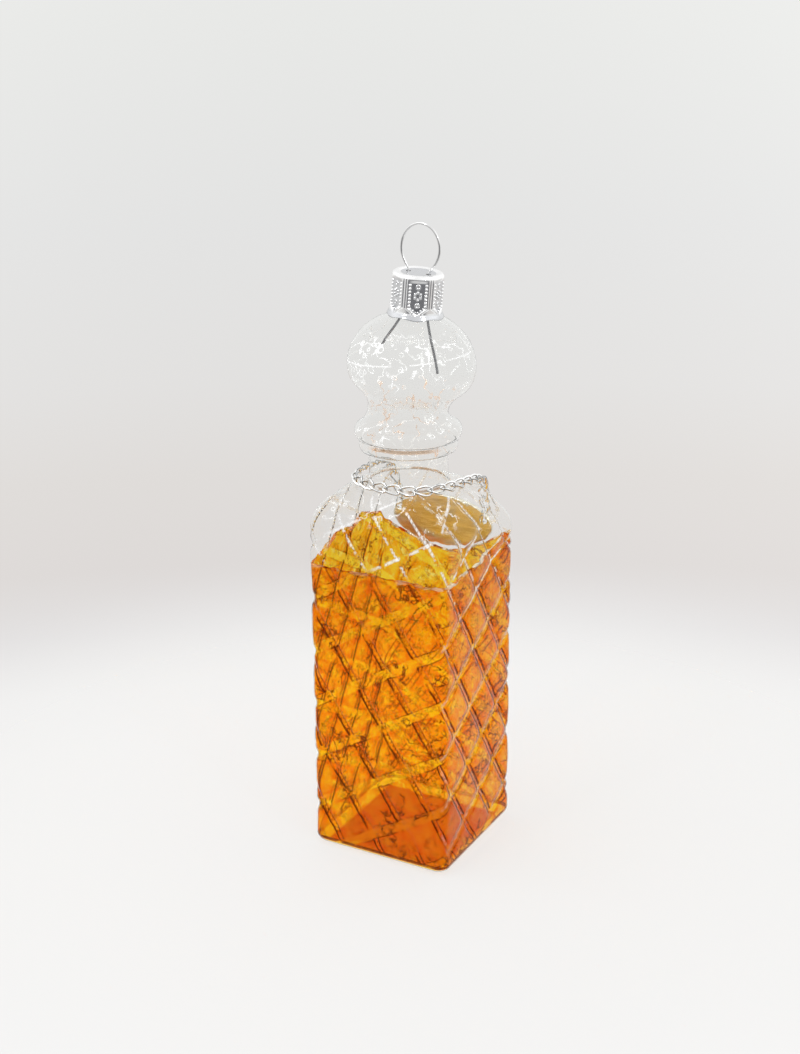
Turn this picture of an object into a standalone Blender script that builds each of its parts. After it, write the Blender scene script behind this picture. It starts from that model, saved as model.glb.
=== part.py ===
"""A blown-glass hanging ornament in the form of a square liquor decanter.

One hollow glass vessel carries the square body, shoulder, neck, lip and ball stopper. Amber lacquer
lines it up to a fill line. A pressed cap closes the neck on top of the ball and holds a wire hanger,
and a curb chain round the neck carries a bare oval label on the back face.

Metres, +Z up. The origin is the centre of the base, on the surface that the ornament stands on.
The label hangs on the +Y face. Bearings turn from +X towards +Y.
"""

import math

import bmesh
import bpy
import numpy as np
from mathutils import Matrix, Vector

CLEARANCE = 0.0003  # between pieces that seat on or in each other
OVERRUN = 0.001  # how far a cutter runs past what it cuts
WELD = 0.00001  # a curve's end caps are joined to its sides within this

# Glass body
BODY_WIDTH = 0.0373
BODY_CORNER_RADIUS = 0.0025
INNER_CORNER_RADIUS = 0.001
BASE_EDGE_RADIUS = 0.0022
GLASS_WALL = 0.0012
BASE_THICKNESS = 0.0015
SHOULDER_START = 0.083
SHOULDER_RISE = 0.0098
CORNER_SAG = 0.0035  # the shoulder sank at the corner towards +X and +Y, as blown
SAG_DEPTH = 0.012  # how far down the body the sag is felt
SAG_START_SHARE = 0.8  # of the half width, out along the diagonal
SAG_END_SHARE = 1.3
FACE_COLUMNS = 6
CORNER_COLUMNS = 2

# Diamond lattice: two families of grooves that wind round the body like the threads of a screw
GROOVE_WIDTH = 0.0024
GROOVE_DEPTH = 0.0008
GROOVE_FOOT = 0.0035
GROOVE_SHOULDER_REACH = 0.0085
GROOVE_FADE = 0.003
RISING_STARTS = 6
RISING_SPACING = 0.0139  # up the face, from one groove to the next
RISING_PHASE_SHARE = 0.525  # of a spacing, at the middle of the -Y face
FALLING_STARTS = 13
FALLING_SPACING = 0.0169
FALLING_PHASE_SHARE = 0.24

# Neck, lip, flange and ball stopper, all one glass
NECK_SHIFT = -0.0009  # the neck stands off centre, as blown
NECK_RADIUS = 0.0095
NECK_FILLET = 0.001
NECK_LENGTH = 0.0085
LIP_RADIUS = 0.0117
LIP_HEIGHT = 0.0022
SEAM_DEPTH = 0.0006
SEAM_HEIGHT = 0.0005
FLANGE_RADIUS = 0.0127
FLANGE_HEIGHT = 0.0034
FLANGE_TOP_RISE = 0.0042
WAIST_RADIUS = 0.0095
BALL_RADIUS = 0.0152
BALL_HALF_HEIGHT = 0.0128
PIKE_WALL = 0.0011
PIKE_FILLET = 0.0006
STOPPER_LEAN = math.radians(5)  # the ball and cap lean towards +X, as blown

# Amber lacquer
FILL_DROP = 0.0081  # from the start of the shoulder down to the fill line
LINING_THICKNESS = 0.0004

# Crown cap
CAP_RADIUS = 0.006
CAP_HEIGHT = 0.0102
CAP_SHEET = 0.0003
CAP_PANELS = 6
CAP_PANEL_DEPTH = 0.00025
CAP_EDGE_RADIUS = 0.001
CAP_DISH_RADIUS = 0.0041
CAP_DISH_DEPTH = 0.00035
SKIRT_RADIUS = 0.0067
SKIRT_HEIGHT = 0.0017
SKIRT_SCALLOP = 0.0004
CAP_COLUMNS = 36

# Wire hanger
WIRE_RADIUS = 0.0003
WIRE_HOLE_RADIUS = 0.0006
WIRE_SPACING = 0.0052
LOOP_WIDTH = 0.0098
LOOP_HEIGHT = 0.0109
LOOP_WIDEST_SHARE = 0.5
LEG_BEND_RISE = 0.0011  # above the foot of the pike
LEG_BEND_SPREAD = 0.0004
LEFT_TIP_RISE = 0.00314  # above the ball's centre
LEFT_TIP_SPREAD = 0.0055
RIGHT_TIP_DROP = 0.00086  # below the ball's centre
RIGHT_TIP_SPREAD = 0.0043

# Oval label and its two jump rings
LABEL_LENGTH = 0.028
LABEL_HEIGHT = 0.0134
LABEL_THICKNESS = 0.0007
LABEL_RIM_WIDTH = 0.0011
LABEL_RIM_RISE = 0.00025
LABEL_DROP = 0.0065  # from the start of the shoulder down to its centre
LABEL_HOLE_RADIUS = 0.0007
LABEL_HOLE_INSET = 0.0019  # from the end of the label to the middle of its hole
LABEL_SHIFT = -0.0028  # it has slid round towards -X with the chain
LABEL_HOLE_RAISE = 0.0015
JUMP_RING_RADIUS = 0.0017
JUMP_WIRE_RADIUS = 0.00025

# Curb chain
LINK_COUNT = 26
LINK_WIRE_RADIUS = 0.00028
LINK_HALF_WIDTH = 0.00105
LINK_TWIST = 0.00055
LINK_SLACK = 0.0002
CHAIN_STAND_OFF = 0.0004  # twice this at the back, where the chain bends over the shoulder's edge
CHAIN_SOFTENING = 0.0065  # the chain's route is rounded off over this length
CHAIN_LEAN = math.radians(45)  # in front the links stand up against the neck
# The route over the shoulder, from the ring towards +X round the neck's front to the other ring:
# bearings in degrees, shares of the shoulder's quarter turn up to the neck, and shares of the lean
CHAIN_BEARINGS = (60.5, 56, 49, 38, 20, 0, -20, -40, -60, -90, -110, -130, -150, -170, -190, -208, -220, -226, -229)
CHAIN_RISE_SHARES = (0.28, 0.47, 0.6, 0.7, 0.77, 0.84, 0.86, 0.88, 0.89, 0.92, 0.92, 0.9, 0.88, 0.86, 0.84, 0.78,
                     0.66, 0.5, 0.28)
CHAIN_LEAN_SHARES = (0, 0, 0, 0, 0.15, 0.4, 0.7, 0.9, 1, 1, 1, 1, 0.9, 0.7, 0.4, 0.15, 0, 0, 0)

HALF_BODY = BODY_WIDTH / 2
BODY_STRAIGHT = BODY_WIDTH - 2 * BODY_CORNER_RADIUS
BODY_SIDE = BODY_STRAIGHT + BODY_CORNER_RADIUS * math.pi / 2
BODY_GIRTH = 4 * BODY_SIDE
SHOULDER_TOP = SHOULDER_START + SHOULDER_RISE
NECK_FOOT_RADIUS = NECK_RADIUS + NECK_FILLET
GROOVE_TOP = SHOULDER_START + GROOVE_SHOULDER_REACH
FILL_HEIGHT = SHOULDER_START - FILL_DROP
LABEL_CENTRE_HEIGHT = SHOULDER_START - LABEL_DROP
LABEL_HOLE_SPACING = LABEL_LENGTH - 2 * LABEL_HOLE_INSET
LIP_BOTTOM = SHOULDER_TOP + NECK_LENGTH
SEAM_BOTTOM = LIP_BOTTOM + LIP_HEIGHT
FLANGE_BOTTOM = SEAM_BOTTOM + SEAM_HEIGHT
FLANGE_TOP = FLANGE_BOTTOM + FLANGE_HEIGHT
WAIST_HEIGHT = FLANGE_TOP + FLANGE_TOP_RISE
CAP_INNER_RADIUS = CAP_RADIUS - CAP_PANEL_DEPTH - CAP_SHEET
PIKE_RADIUS = CAP_INNER_RADIUS - CLEARANCE


def ball_height(radius):
    """Height above the ball's equator at which its surface narrows to this radius."""
    return BALL_HALF_HEIGHT * math.sin(math.acos(radius / BALL_RADIUS))


BALL_CENTRE = WAIST_HEIGHT + ball_height(WAIST_RADIUS)
PIKE_FOOT = BALL_CENTRE + ball_height(PIKE_RADIUS)
CAP_FOOT = BALL_CENTRE + ball_height(SKIRT_RADIUS) + CLEARANCE
CAP_TOP = CAP_FOOT + CAP_HEIGHT
DISH_HEIGHT = CAP_TOP - CAP_DISH_DEPTH
PIKE_TOP = DISH_HEIGHT - CAP_SHEET - CLEARANCE
LEG_BEND_DEPTH = DISH_HEIGHT - PIKE_FOOT - LEG_BEND_RISE


def clear_scene():
    for thing in list(bpy.data.objects):
        bpy.data.objects.remove(thing)


def make_material(name, colour, roughness, metallic, transmission=0.0):
    material = bpy.data.materials.new(name)
    material.use_nodes = True
    shader = material.node_tree.nodes["Principled BSDF"]
    shader.inputs["Base Color"].default_value = (*colour, 1)
    shader.inputs["Roughness"].default_value = roughness
    shader.inputs["Metallic"].default_value = metallic
    shader.inputs["Transmission Weight"].default_value = transmission
    return material


def add_object(name, data, material):
    thing = bpy.data.objects.new(name, data)
    bpy.context.scene.collection.objects.link(thing)
    if material:
        data.materials.append(material)
    return thing


def add_cutter(name, mesh):
    cutter = add_object(name, mesh, None)
    cutter.hide_render = True
    cutter.display_type = "WIRE"
    return cutter


def cut(thing, cutter):
    boolean = thing.modifiers.new(cutter.name, "BOOLEAN")
    boolean.operation = "DIFFERENCE"
    boolean.object = cutter


def merge_flats(thing):
    """Joins the flat facets that lie in one plane, so that cuts across them leave fewer triangles."""
    dissolve = thing.modifiers.new("merge_flats", "DECIMATE")
    dissolve.decimate_type = "DISSOLVE"
    dissolve.angle_limit = math.radians(0.1)


def shade_round(mesh, sharp_angle=math.radians(35)):
    mesh.shade_smooth()
    mesh.set_sharp_from_angle(angle=sharp_angle)


def skin_rows(name, rows, looped=False):
    """Skins rows of points, each a closed ring of equal length. The ends close in fans, or on each other."""
    shape = bmesh.new()
    rings = [[shape.verts.new(point) for point in row] for row in rows]
    pairs = list(zip(rings, rings[1:]))
    if looped:
        pairs.append((rings[-1], rings[0]))
    for lower, upper in pairs:
        for i, j in zip(range(len(lower)), [*range(1, len(lower)), 0]):
            shape.faces.new((lower[i], lower[j], upper[j], upper[i]))
    for ring in () if looped else (rings[0], rings[-1]):
        centre = shape.verts.new(sum((vert.co for vert in ring), Vector()) / len(ring))
        for i, j in zip(range(len(ring)), [*range(1, len(ring)), 0]):
            shape.faces.new((ring[i], ring[j], centre))
    bmesh.ops.recalc_face_normals(shape, faces=shape.faces)
    mesh = bpy.data.meshes.new(name)
    shape.to_mesh(mesh)
    shape.free()
    return mesh


def drill_mesh(name, radius, depth, place):
    shape = bmesh.new()
    half_facet = Matrix.Rotation(math.pi / 16, 4, "Z")
    bmesh.ops.create_cone(shape, cap_ends=True, segments=16, radius1=radius, radius2=radius, depth=depth,
                          matrix=place @ half_facet)
    mesh = bpy.data.meshes.new(name)
    shape.to_mesh(mesh)
    shape.free()
    return mesh


# Sections of the vessel
def column_bearings():
    """Bearings round the vessel: even on each flat, and closer together on each rounded corner."""
    edge = math.atan2(BODY_STRAIGHT / 2, HALF_BODY)
    bearings = []
    for face in range(4):
        flat = np.linspace(-edge, edge, FACE_COLUMNS + 1)
        corner = np.linspace(edge, math.pi / 2 - edge, CORNER_COLUMNS + 1)[1:-1]
        bearings += [face * math.pi / 2 + bearing for bearing in (*flat, *corner)]
    return bearings


def square_reach(bearing, half_width, corner_radius):
    """Distance from the axis out to a rounded square."""
    folded = abs((bearing + math.pi / 4) % (math.pi / 2) - math.pi / 4)
    straight = half_width - corner_radius
    if math.tan(folded) * half_width <= straight:
        return half_width / math.cos(folded)
    along = straight * (math.cos(folded) + math.sin(folded))
    across = straight * (math.cos(folded) - math.sin(folded))
    return along + math.sqrt(max(corner_radius**2 - across**2, 0))


def ease(value, start, end):
    """Rises smoothly from 0 to 1 as the value goes from start to end."""
    share = min(max((value - start) / (end - start), 0), 1)
    return share * share * (3 - 2 * share)


def settle(point):
    """Moves a point of the true shape to where the hand-blown glass has it: one corner of the shoulder
    has sunk, the neck stands off centre, and the stopper leans."""
    x, y, z = point
    shift = NECK_SHIFT * ease(z, SHOULDER_START, SHOULDER_TOP)
    turn = Matrix.Rotation(STOPPER_LEAN * ease(z, FLANGE_TOP, WAIST_HEIGHT), 3, "Y")
    diagonal = (x + y) / math.sqrt(2)
    sag = CORNER_SAG * ease(z, SHOULDER_START - SAG_DEPTH, SHOULDER_START)
    sag *= ease(diagonal, SAG_START_SHARE * HALF_BODY, SAG_END_SHARE * HALF_BODY)
    pivot = Vector((0, 0, WAIST_HEIGHT))
    return turn @ (Vector((x, y, z - sag)) - pivot) + pivot + Vector((shift, 0, 0))


def square_row(bearings, half_width, corner_radius, height):
    reaches = [square_reach(bearing, half_width, corner_radius) for bearing in bearings]
    return [(reach * math.cos(b), reach * math.sin(b), height) for reach, b in zip(reaches, bearings)]


def round_row(bearings, radius, height):
    return [(radius * math.cos(b), radius * math.sin(b), height) for b in bearings]


def shoulder_point(bearing, quarter, half_width=HALF_BODY, corner_radius=BODY_CORNER_RADIUS,
                   neck_radius=NECK_FOOT_RADIUS, rise=SHOULDER_RISE):
    """The shoulder is a quarter ellipse at every bearing, from the square body to the round neck."""
    span = square_reach(bearing, half_width, corner_radius) - neck_radius
    reach = neck_radius + span * math.cos(quarter)
    return Vector((reach * math.cos(bearing), reach * math.sin(bearing), SHOULDER_START + rise * math.sin(quarter)))


def outer_rows(bearings):
    rows = []
    for turn in np.linspace(0, math.pi / 2, 4):
        inset = BASE_EDGE_RADIUS * (1 - math.sin(turn))
        corner = max(BODY_CORNER_RADIUS - inset, INNER_CORNER_RADIUS)
        rows.append(square_row(bearings, HALF_BODY - inset, corner, BASE_EDGE_RADIUS * (1 - math.cos(turn))))
    for quarter in np.linspace(0, math.pi / 2, 8):
        rows.append([shoulder_point(bearing, quarter) for bearing in bearings])
    slant = NECK_FILLET * (1 - math.cos(math.pi / 4))
    profile = [
        (NECK_RADIUS + slant, SHOULDER_TOP + slant),
        (NECK_RADIUS, SHOULDER_TOP + NECK_FILLET),
        (NECK_RADIUS, LIP_BOTTOM - NECK_FILLET),
        (LIP_RADIUS - SEAM_DEPTH, LIP_BOTTOM),
        (LIP_RADIUS, LIP_BOTTOM + LIP_HEIGHT / 3),
        (LIP_RADIUS, SEAM_BOTTOM - LIP_HEIGHT / 4),
        (LIP_RADIUS - SEAM_DEPTH, SEAM_BOTTOM),
        (LIP_RADIUS - SEAM_DEPTH, FLANGE_BOTTOM),
        (FLANGE_RADIUS - SEAM_DEPTH / 2, FLANGE_BOTTOM + FLANGE_HEIGHT / 6),
        (FLANGE_RADIUS, FLANGE_BOTTOM + FLANGE_HEIGHT / 2),
        (FLANGE_RADIUS - SEAM_DEPTH / 2, FLANGE_TOP - FLANGE_HEIGHT / 6),
    ]
    collar_edge = FLANGE_RADIUS - SEAM_DEPTH
    for turn in np.linspace(0, math.pi / 2, 5)[:-1]:
        narrowing = (collar_edge - WAIST_RADIUS) * math.sin(turn)
        profile.append((collar_edge - narrowing, FLANGE_TOP + FLANGE_TOP_RISE * (1 - math.cos(turn))))
    top_turn = math.acos((PIKE_RADIUS + PIKE_FILLET) / BALL_RADIUS)
    for turn in np.linspace(-math.acos(WAIST_RADIUS / BALL_RADIUS), top_turn, 10):
        profile.append((BALL_RADIUS * math.cos(turn), BALL_CENTRE + BALL_HALF_HEIGHT * math.sin(turn)))
    profile += [
        (PIKE_RADIUS, PIKE_FOOT + PIKE_FILLET),
        (PIKE_RADIUS, PIKE_TOP - PIKE_WALL / 3),
        (PIKE_RADIUS - PIKE_WALL / 3, PIKE_TOP),
    ]
    return rows + [round_row(bearings, radius, height) for radius, height in profile]


def inner_rows(bearings):
    """The inside of the glass, from the pike's mouth down to the base."""
    neck_bore = NECK_RADIUS - GLASS_WALL
    pike_bore = PIKE_RADIUS - PIKE_WALL
    ball_bore = BALL_RADIUS - GLASS_WALL
    ball_half = BALL_HALF_HEIGHT - GLASS_WALL
    profile = [(pike_bore + PIKE_WALL / 3, PIKE_TOP), (pike_bore, PIKE_TOP - PIKE_WALL / 3)]
    waist_turn = -math.acos((WAIST_RADIUS - GLASS_WALL) / ball_bore)
    for turn in np.linspace(math.acos(pike_bore / ball_bore), waist_turn, 9):
        profile.append((ball_bore * math.cos(turn), BALL_CENTRE + ball_half * math.sin(turn)))
    profile += [
        (LIP_RADIUS - 2 * GLASS_WALL, FLANGE_TOP),
        (LIP_RADIUS - GLASS_WALL, FLANGE_BOTTOM),
        (neck_bore, LIP_BOTTOM - NECK_FILLET),
        (neck_bore, SHOULDER_TOP),
    ]
    rows = [round_row(bearings, radius, height) for radius, height in profile]
    inner_half = HALF_BODY - GLASS_WALL
    for quarter in np.linspace(math.pi / 2, 0, 6):
        rows.append([shoulder_point(bearing, quarter, inner_half, INNER_CORNER_RADIUS,
                                    NECK_FOOT_RADIUS - GLASS_WALL, SHOULDER_RISE - GLASS_WALL)
                     for bearing in bearings])
    return rows + inner_foot_rows(bearings, inner_half, BASE_THICKNESS)


def inner_foot_rows(bearings, half_width, floor):
    """The rounded foot of the inside, from the wall down to the floor."""
    edge = BASE_EDGE_RADIUS - GLASS_WALL
    return [square_row(bearings, half_width - edge * (1 - math.sin(turn)), INNER_CORNER_RADIUS,
                       floor + edge * (1 - math.cos(turn))) for turn in np.linspace(math.pi / 2, 0, 3)]


# Diamond lattice
def body_point(along, up, outset):
    """A point over the glass: 'along' from the +X face's middle, round the body, and 'up' its wall.
    Above the body, 'up' is measured over the shoulder."""
    face, along_face = divmod(along + BODY_STRAIGHT / 2, BODY_SIDE)
    bend = max(along_face - BODY_STRAIGHT, 0) / BODY_CORNER_RADIUS
    outward = Vector((math.cos(bend), math.sin(bend), 0))
    centre = Vector((BODY_STRAIGHT / 2, min(along_face, BODY_STRAIGHT) - BODY_STRAIGHT / 2, 0))
    turn = Matrix.Rotation(face * math.pi / 2, 3, "Z")
    wall, outward = turn @ (centre + outward * BODY_CORNER_RADIUS), turn @ outward
    if up <= SHOULDER_START:
        return settle(wall + Vector((0, 0, up))) + outward * outset
    quarter = (up - SHOULDER_START) * math.sqrt(2) / math.hypot(HALF_BODY - NECK_FOOT_RADIUS, SHOULDER_RISE)
    tilt = math.sin(quarter)
    sideways = outward.lerp(wall.normalized(), tilt).normalized() * SHOULDER_RISE * math.cos(quarter)
    normal = (sideways + Vector((0, 0, (wall.length - NECK_FOOT_RADIUS) * tilt))).normalized()
    return settle(shoulder_point(math.atan2(wall.y, wall.x), quarter)) + normal * outset


def groove_cutter(name, starts, spacing, phase_share, direction):
    """One family of grooves: round bars, each wound round the body as one start of a screw thread."""
    bar_radius = (GROOVE_WIDTH**2 / 4 + GROOVE_DEPTH**2) / (2 * GROOVE_DEPTH)
    curve = bpy.data.curves.new(name, "CURVE")
    curve.dimensions = "3D"
    curve.bevel_depth = bar_radius
    curve.bevel_resolution = 1
    curve.use_fill_caps = True
    slope = direction * starts * spacing / BODY_GIRTH
    levels = [*np.linspace(GROOVE_FOOT, GROOVE_FOOT + GROOVE_FADE, 3), *np.linspace(SHOULDER_START, GROOVE_TOP, 7)]
    for start in range(starts):
        height = spacing * (phase_share + start) + slope * BODY_GIRTH / 4
        first, last = sorted(((GROOVE_FOOT - height) / slope, (GROOVE_TOP - height) / slope))
        spots = {(level - height) / slope for level in levels}
        for face in range(math.floor(first / BODY_SIDE) - 1, math.ceil(last / BODY_SIDE) + 1):
            corner = np.linspace(BODY_STRAIGHT / 2, BODY_SIDE - BODY_STRAIGHT / 2, 4) + face * BODY_SIDE
            spots.update(spot for spot in corner if first < spot < last)
        spots = sorted(spots)
        bends = [spots[0]]
        for spot in spots[1:-1]:  # sections closer than this would cut into each other at a bend
            if min(spot - bends[-1], spots[-1] - spot) > bar_radius / 2:
                bends.append(spot)
        bends.append(spots[-1])
        spline = curve.splines.new("POLY")
        spline.points.add(len(bends) - 1)
        for point, along in zip(spline.points, bends):
            up = height + slope * along
            fade = max(0, 1 - (GROOVE_TOP - up) / GROOVE_FADE, 1 - (up - GROOVE_FOOT) / GROOVE_FADE)
            point.co = (*body_point(along, up, bar_radius - GROOVE_DEPTH * (1 - fade)), 1)
    guide = add_object(name + "_guide", curve, None)
    mesh = bpy.data.meshes.new_from_object(guide.evaluated_get(bpy.context.evaluated_depsgraph_get()))
    bpy.data.objects.remove(guide)
    shape = bmesh.new()
    shape.from_mesh(mesh)
    bmesh.ops.remove_doubles(shape, verts=shape.verts, dist=WELD)
    bmesh.ops.recalc_face_normals(shape, faces=shape.faces)
    shape.to_mesh(mesh)
    shape.free()
    return add_cutter(name, mesh)


def make_vessel(glass):
    bearings = column_bearings()
    rows = [[settle(point) for point in row] for row in outer_rows(bearings) + inner_rows(bearings)]
    vessel = add_object("glass_vessel", skin_rows("glass_vessel", rows), glass)
    cut(vessel, groove_cutter("rising_grooves", RISING_STARTS, RISING_SPACING, RISING_PHASE_SHARE, 1))
    cut(vessel, groove_cutter("falling_grooves", FALLING_STARTS, FALLING_SPACING, FALLING_PHASE_SHARE, -1))
    merge_flats(vessel)


def make_lining(lacquer):
    """The amber lacquer: an open-topped skin inside the glass, up to the fill line."""
    bearings = column_bearings()
    outer_half = HALF_BODY - GLASS_WALL - CLEARANCE
    inner_half = outer_half - LINING_THICKNESS
    floor = BASE_THICKNESS + CLEARANCE
    outside = inner_foot_rows(bearings, outer_half, floor)
    inside = inner_foot_rows(bearings, inner_half, floor + LINING_THICKNESS)
    brims = [square_row(bearings, half, INNER_CORNER_RADIUS, FILL_HEIGHT) for half in (outer_half, inner_half)]
    mesh = skin_rows("amber_lining", [*reversed(outside), *brims, *inside])
    shade_round(mesh)
    add_object("amber_lining", mesh, lacquer)


# Cap and hanger, in a frame that leans with the stopper
def add_frame(name, parent, height):
    """An empty on the stopper's axis. Heights are those of the upright shape."""
    frame = bpy.data.objects.new(name, None)
    bpy.context.scene.collection.objects.link(frame)
    if parent:
        frame.parent = parent
        frame.location = (0, 0, height - WAIST_HEIGHT)
    else:
        frame.location = (NECK_SHIFT, 0, height)
        frame.rotation_euler = (0, STOPPER_LEAN, 0)
    return frame


def cap_row(radius, height, panel_depth=0.0, scallop=0.0):
    """A row round the cap. Half a panel from its first point is a ridge, and the skirt lifts under each ridge."""
    row = []
    for column in range(CAP_COLUMNS):
        bearing = 2 * math.pi * column / CAP_COLUMNS
        from_ridge = 0.5 + 0.5 * math.cos(CAP_PANELS * bearing)
        reach = radius - panel_depth * min(2 * from_ridge, 1)
        row.append((reach * math.cos(bearing), reach * math.sin(bearing), height - WAIST_HEIGHT + scallop * (1 - from_ridge)))
    return row


def make_cap(metal, frame):
    rim_height = CAP_TOP - CAP_EDGE_RADIUS
    slant = CAP_EDGE_RADIUS * (1 - math.cos(math.pi / 4))
    crown_radius = CAP_RADIUS - CAP_EDGE_RADIUS
    skirt_top = CAP_FOOT + SKIRT_HEIGHT
    outside = [
        cap_row(CAP_DISH_RADIUS, DISH_HEIGHT),
        cap_row(CAP_DISH_RADIUS + CAP_DISH_DEPTH, CAP_TOP),
        cap_row(crown_radius, CAP_TOP),
        cap_row(CAP_RADIUS - slant, CAP_TOP - slant),
        cap_row(CAP_RADIUS, rim_height),
        cap_row(CAP_RADIUS, rim_height - CAP_PANEL_DEPTH, CAP_PANEL_DEPTH),
        cap_row(CAP_RADIUS, skirt_top + CAP_PANEL_DEPTH, CAP_PANEL_DEPTH),
        cap_row(CAP_RADIUS, skirt_top),
        cap_row(SKIRT_RADIUS - CAP_SHEET, CAP_FOOT + SKIRT_HEIGHT / 2),
        cap_row(SKIRT_RADIUS, CAP_FOOT, scallop=SKIRT_SCALLOP),
    ]
    inside = [
        cap_row(SKIRT_RADIUS - CAP_SHEET, CAP_FOOT, scallop=SKIRT_SCALLOP),
        cap_row(SKIRT_RADIUS - 2 * CAP_SHEET, CAP_FOOT + SKIRT_HEIGHT / 2),
        cap_row(CAP_INNER_RADIUS, skirt_top),
        cap_row(CAP_INNER_RADIUS, rim_height - CAP_SHEET),
        cap_row(crown_radius - CAP_SHEET, DISH_HEIGHT - CAP_SHEET),
    ]
    cap = add_object("crown_cap", skin_rows("crown_cap", outside + inside), metal)
    shade_round(cap.data)
    cap.parent = frame
    for side in (-1, 1):
        place = Matrix.Translation((side * WIRE_SPACING / 2, 0, DISH_HEIGHT - WAIST_HEIGHT))
        drill = add_cutter("wire_drill", drill_mesh("wire_drill", WIRE_HOLE_RADIUS, 2 * (CAP_SHEET + OVERRUN), place))
        drill.parent = frame
        cut(cap, drill)


def add_wire(name, points, handles, metal, frame):
    """A round wire on a Bezier curve. Each handle runs from its point to the next control point."""
    curve = bpy.data.curves.new(name, "CURVE")
    curve.dimensions = "3D"
    curve.bevel_depth = WIRE_RADIUS
    curve.bevel_resolution = 1
    curve.resolution_u = 6
    curve.use_fill_caps = True
    spline = curve.splines.new("BEZIER")
    spline.bezier_points.add(len(points) - 1)
    for spot, point, handle in zip(spline.bezier_points, points, handles):
        spot.handle_left_type = spot.handle_right_type = "FREE"
        spot.co = point
        spot.handle_left = Vector(point) - Vector(handle)
        spot.handle_right = Vector(point) + Vector(handle)
    wire = add_object(name, curve, metal)
    wire.parent = frame


def make_hanger(metal, frame):
    """One sprung wire, in three nodes: the loop above the cap, and the two legs that grip inside the ball.
    Heights are from the hinge line through the cap's two holes."""
    half_gap = WIRE_SPACING / 2
    half_width = LOOP_WIDTH / 2
    foot = -CAP_SHEET - CLEARANCE
    top = CAP_DISH_DEPTH + LOOP_HEIGHT
    middle = top * LOOP_WIDEST_SHARE
    rise = (top - middle) * 0.55
    climb = (middle - foot) / 3
    points = [(-half_gap, 0, foot), (-half_width, 0, middle), (0, 0, top), (half_width, 0, middle),
              (half_gap, 0, foot)]
    handles = [(0, 0, climb), (0, 0, rise), (half_width * 0.55, 0, 0), (0, 0, -rise), (0, 0, -climb)]
    add_wire("hanger_loop", points, handles, metal, frame)
    legs = (
        ("hanger_leg_left", -1, DISH_HEIGHT - BALL_CENTRE - LEFT_TIP_RISE, LEFT_TIP_SPREAD),
        ("hanger_leg_right", 1, DISH_HEIGHT - BALL_CENTRE + RIGHT_TIP_DROP, RIGHT_TIP_SPREAD),
    )
    for name, side, reach, spread in legs:
        leg_top = foot - CLEARANCE
        bend = (side * (half_gap + LEG_BEND_SPREAD), 0, -LEG_BEND_DEPTH)
        tip = (side * (half_gap + spread), 0, -reach)
        fall = (reach - LEG_BEND_DEPTH) / 3
        points = [(side * half_gap, 0, leg_top), bend, tip]
        handles = [(0, 0, -LEG_BEND_DEPTH / 3), (side * LEG_BEND_SPREAD, 0, -fall), (side * spread / 4, 0, -fall)]
        add_wire(name, points, handles, metal, frame)


# Label and jump rings
def ring_centre(side):
    """A jump ring stands edge-on against the back face and passes through the label's hole."""
    height = LABEL_CENTRE_HEIGHT + LABEL_HOLE_RAISE + JUMP_RING_RADIUS
    stand_off = JUMP_RING_RADIUS + JUMP_WIRE_RADIUS + CLEARANCE
    return Vector((LABEL_SHIFT + side * LABEL_HOLE_SPACING / 2, HALF_BODY + stand_off, height))


def tube_ring(name, centreline, radius, sides):
    """A round wire on a closed line of points."""
    rows = []
    for before, point, after in zip(centreline[-1:] + centreline[:-1], centreline, centreline[1:] + centreline[:1]):
        along = (after - before).normalized()
        outward = (point - along * point.dot(along)).normalized()
        upward = along.cross(outward)
        turns = np.linspace(0, 2 * math.pi, sides, endpoint=False)
        rows.append([point + radius * (outward * math.cos(turn) + upward * math.sin(turn)) for turn in turns])
    mesh = skin_rows(name, rows, looped=True)
    shade_round(mesh, math.radians(80))
    return mesh


def make_label(metal):
    """An oval plate with a raised rim on its outer side and a hole at each end. It hangs on the rings,
    and its frame is on the hinge line through their centres."""
    hinge = ring_centre(0)
    frame = bpy.data.objects.new("label_frame", None)
    bpy.context.scene.collection.objects.link(frame)
    frame.location = hinge
    drop = LABEL_CENTRE_HEIGHT - hinge.z
    rear = -LABEL_THICKNESS / 2
    front = LABEL_THICKNESS / 2

    def oval(inset, depth):
        half_length = LABEL_LENGTH / 2 - inset
        half_height = LABEL_HEIGHT / 2 - inset
        return [(half_length * math.cos(turn), depth, drop + half_height * math.sin(turn))
                for turn in np.linspace(0, 2 * math.pi, 40, endpoint=False)]

    rows = [
        oval(LABEL_RIM_RISE, rear),
        oval(0, rear + LABEL_RIM_RISE),
        oval(0, front),
        oval(LABEL_RIM_RISE, front + LABEL_RIM_RISE),
        oval(LABEL_RIM_WIDTH - LABEL_RIM_RISE, front + LABEL_RIM_RISE),
        oval(LABEL_RIM_WIDTH, front),
    ]
    label = add_object("label_plate", skin_rows("label_plate", rows), metal)
    label.parent = frame
    for side in (-1, 1):
        hole = Matrix.Translation((side * LABEL_HOLE_SPACING / 2, 0, drop + LABEL_HOLE_RAISE))
        place = hole @ Matrix.Rotation(math.pi / 2, 4, "X")
        depth = LABEL_THICKNESS + 2 * OVERRUN
        drill = add_cutter("label_drill", drill_mesh("label_drill", LABEL_HOLE_RADIUS, depth, place))
        drill.parent = frame
        cut(label, drill)


def make_jump_rings(metal):
    for side, name in ((-1, "left"), (1, "right")):
        turns = np.linspace(0, 2 * math.pi, 16, endpoint=False)
        circle = [Vector((0, math.cos(turn), math.sin(turn))) * JUMP_RING_RADIUS for turn in turns]
        ring = add_object(f"jump_ring_{name}", tube_ring("jump_ring", circle, JUMP_WIRE_RADIUS, 6), metal)
        ring.location = ring_centre(side)


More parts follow.
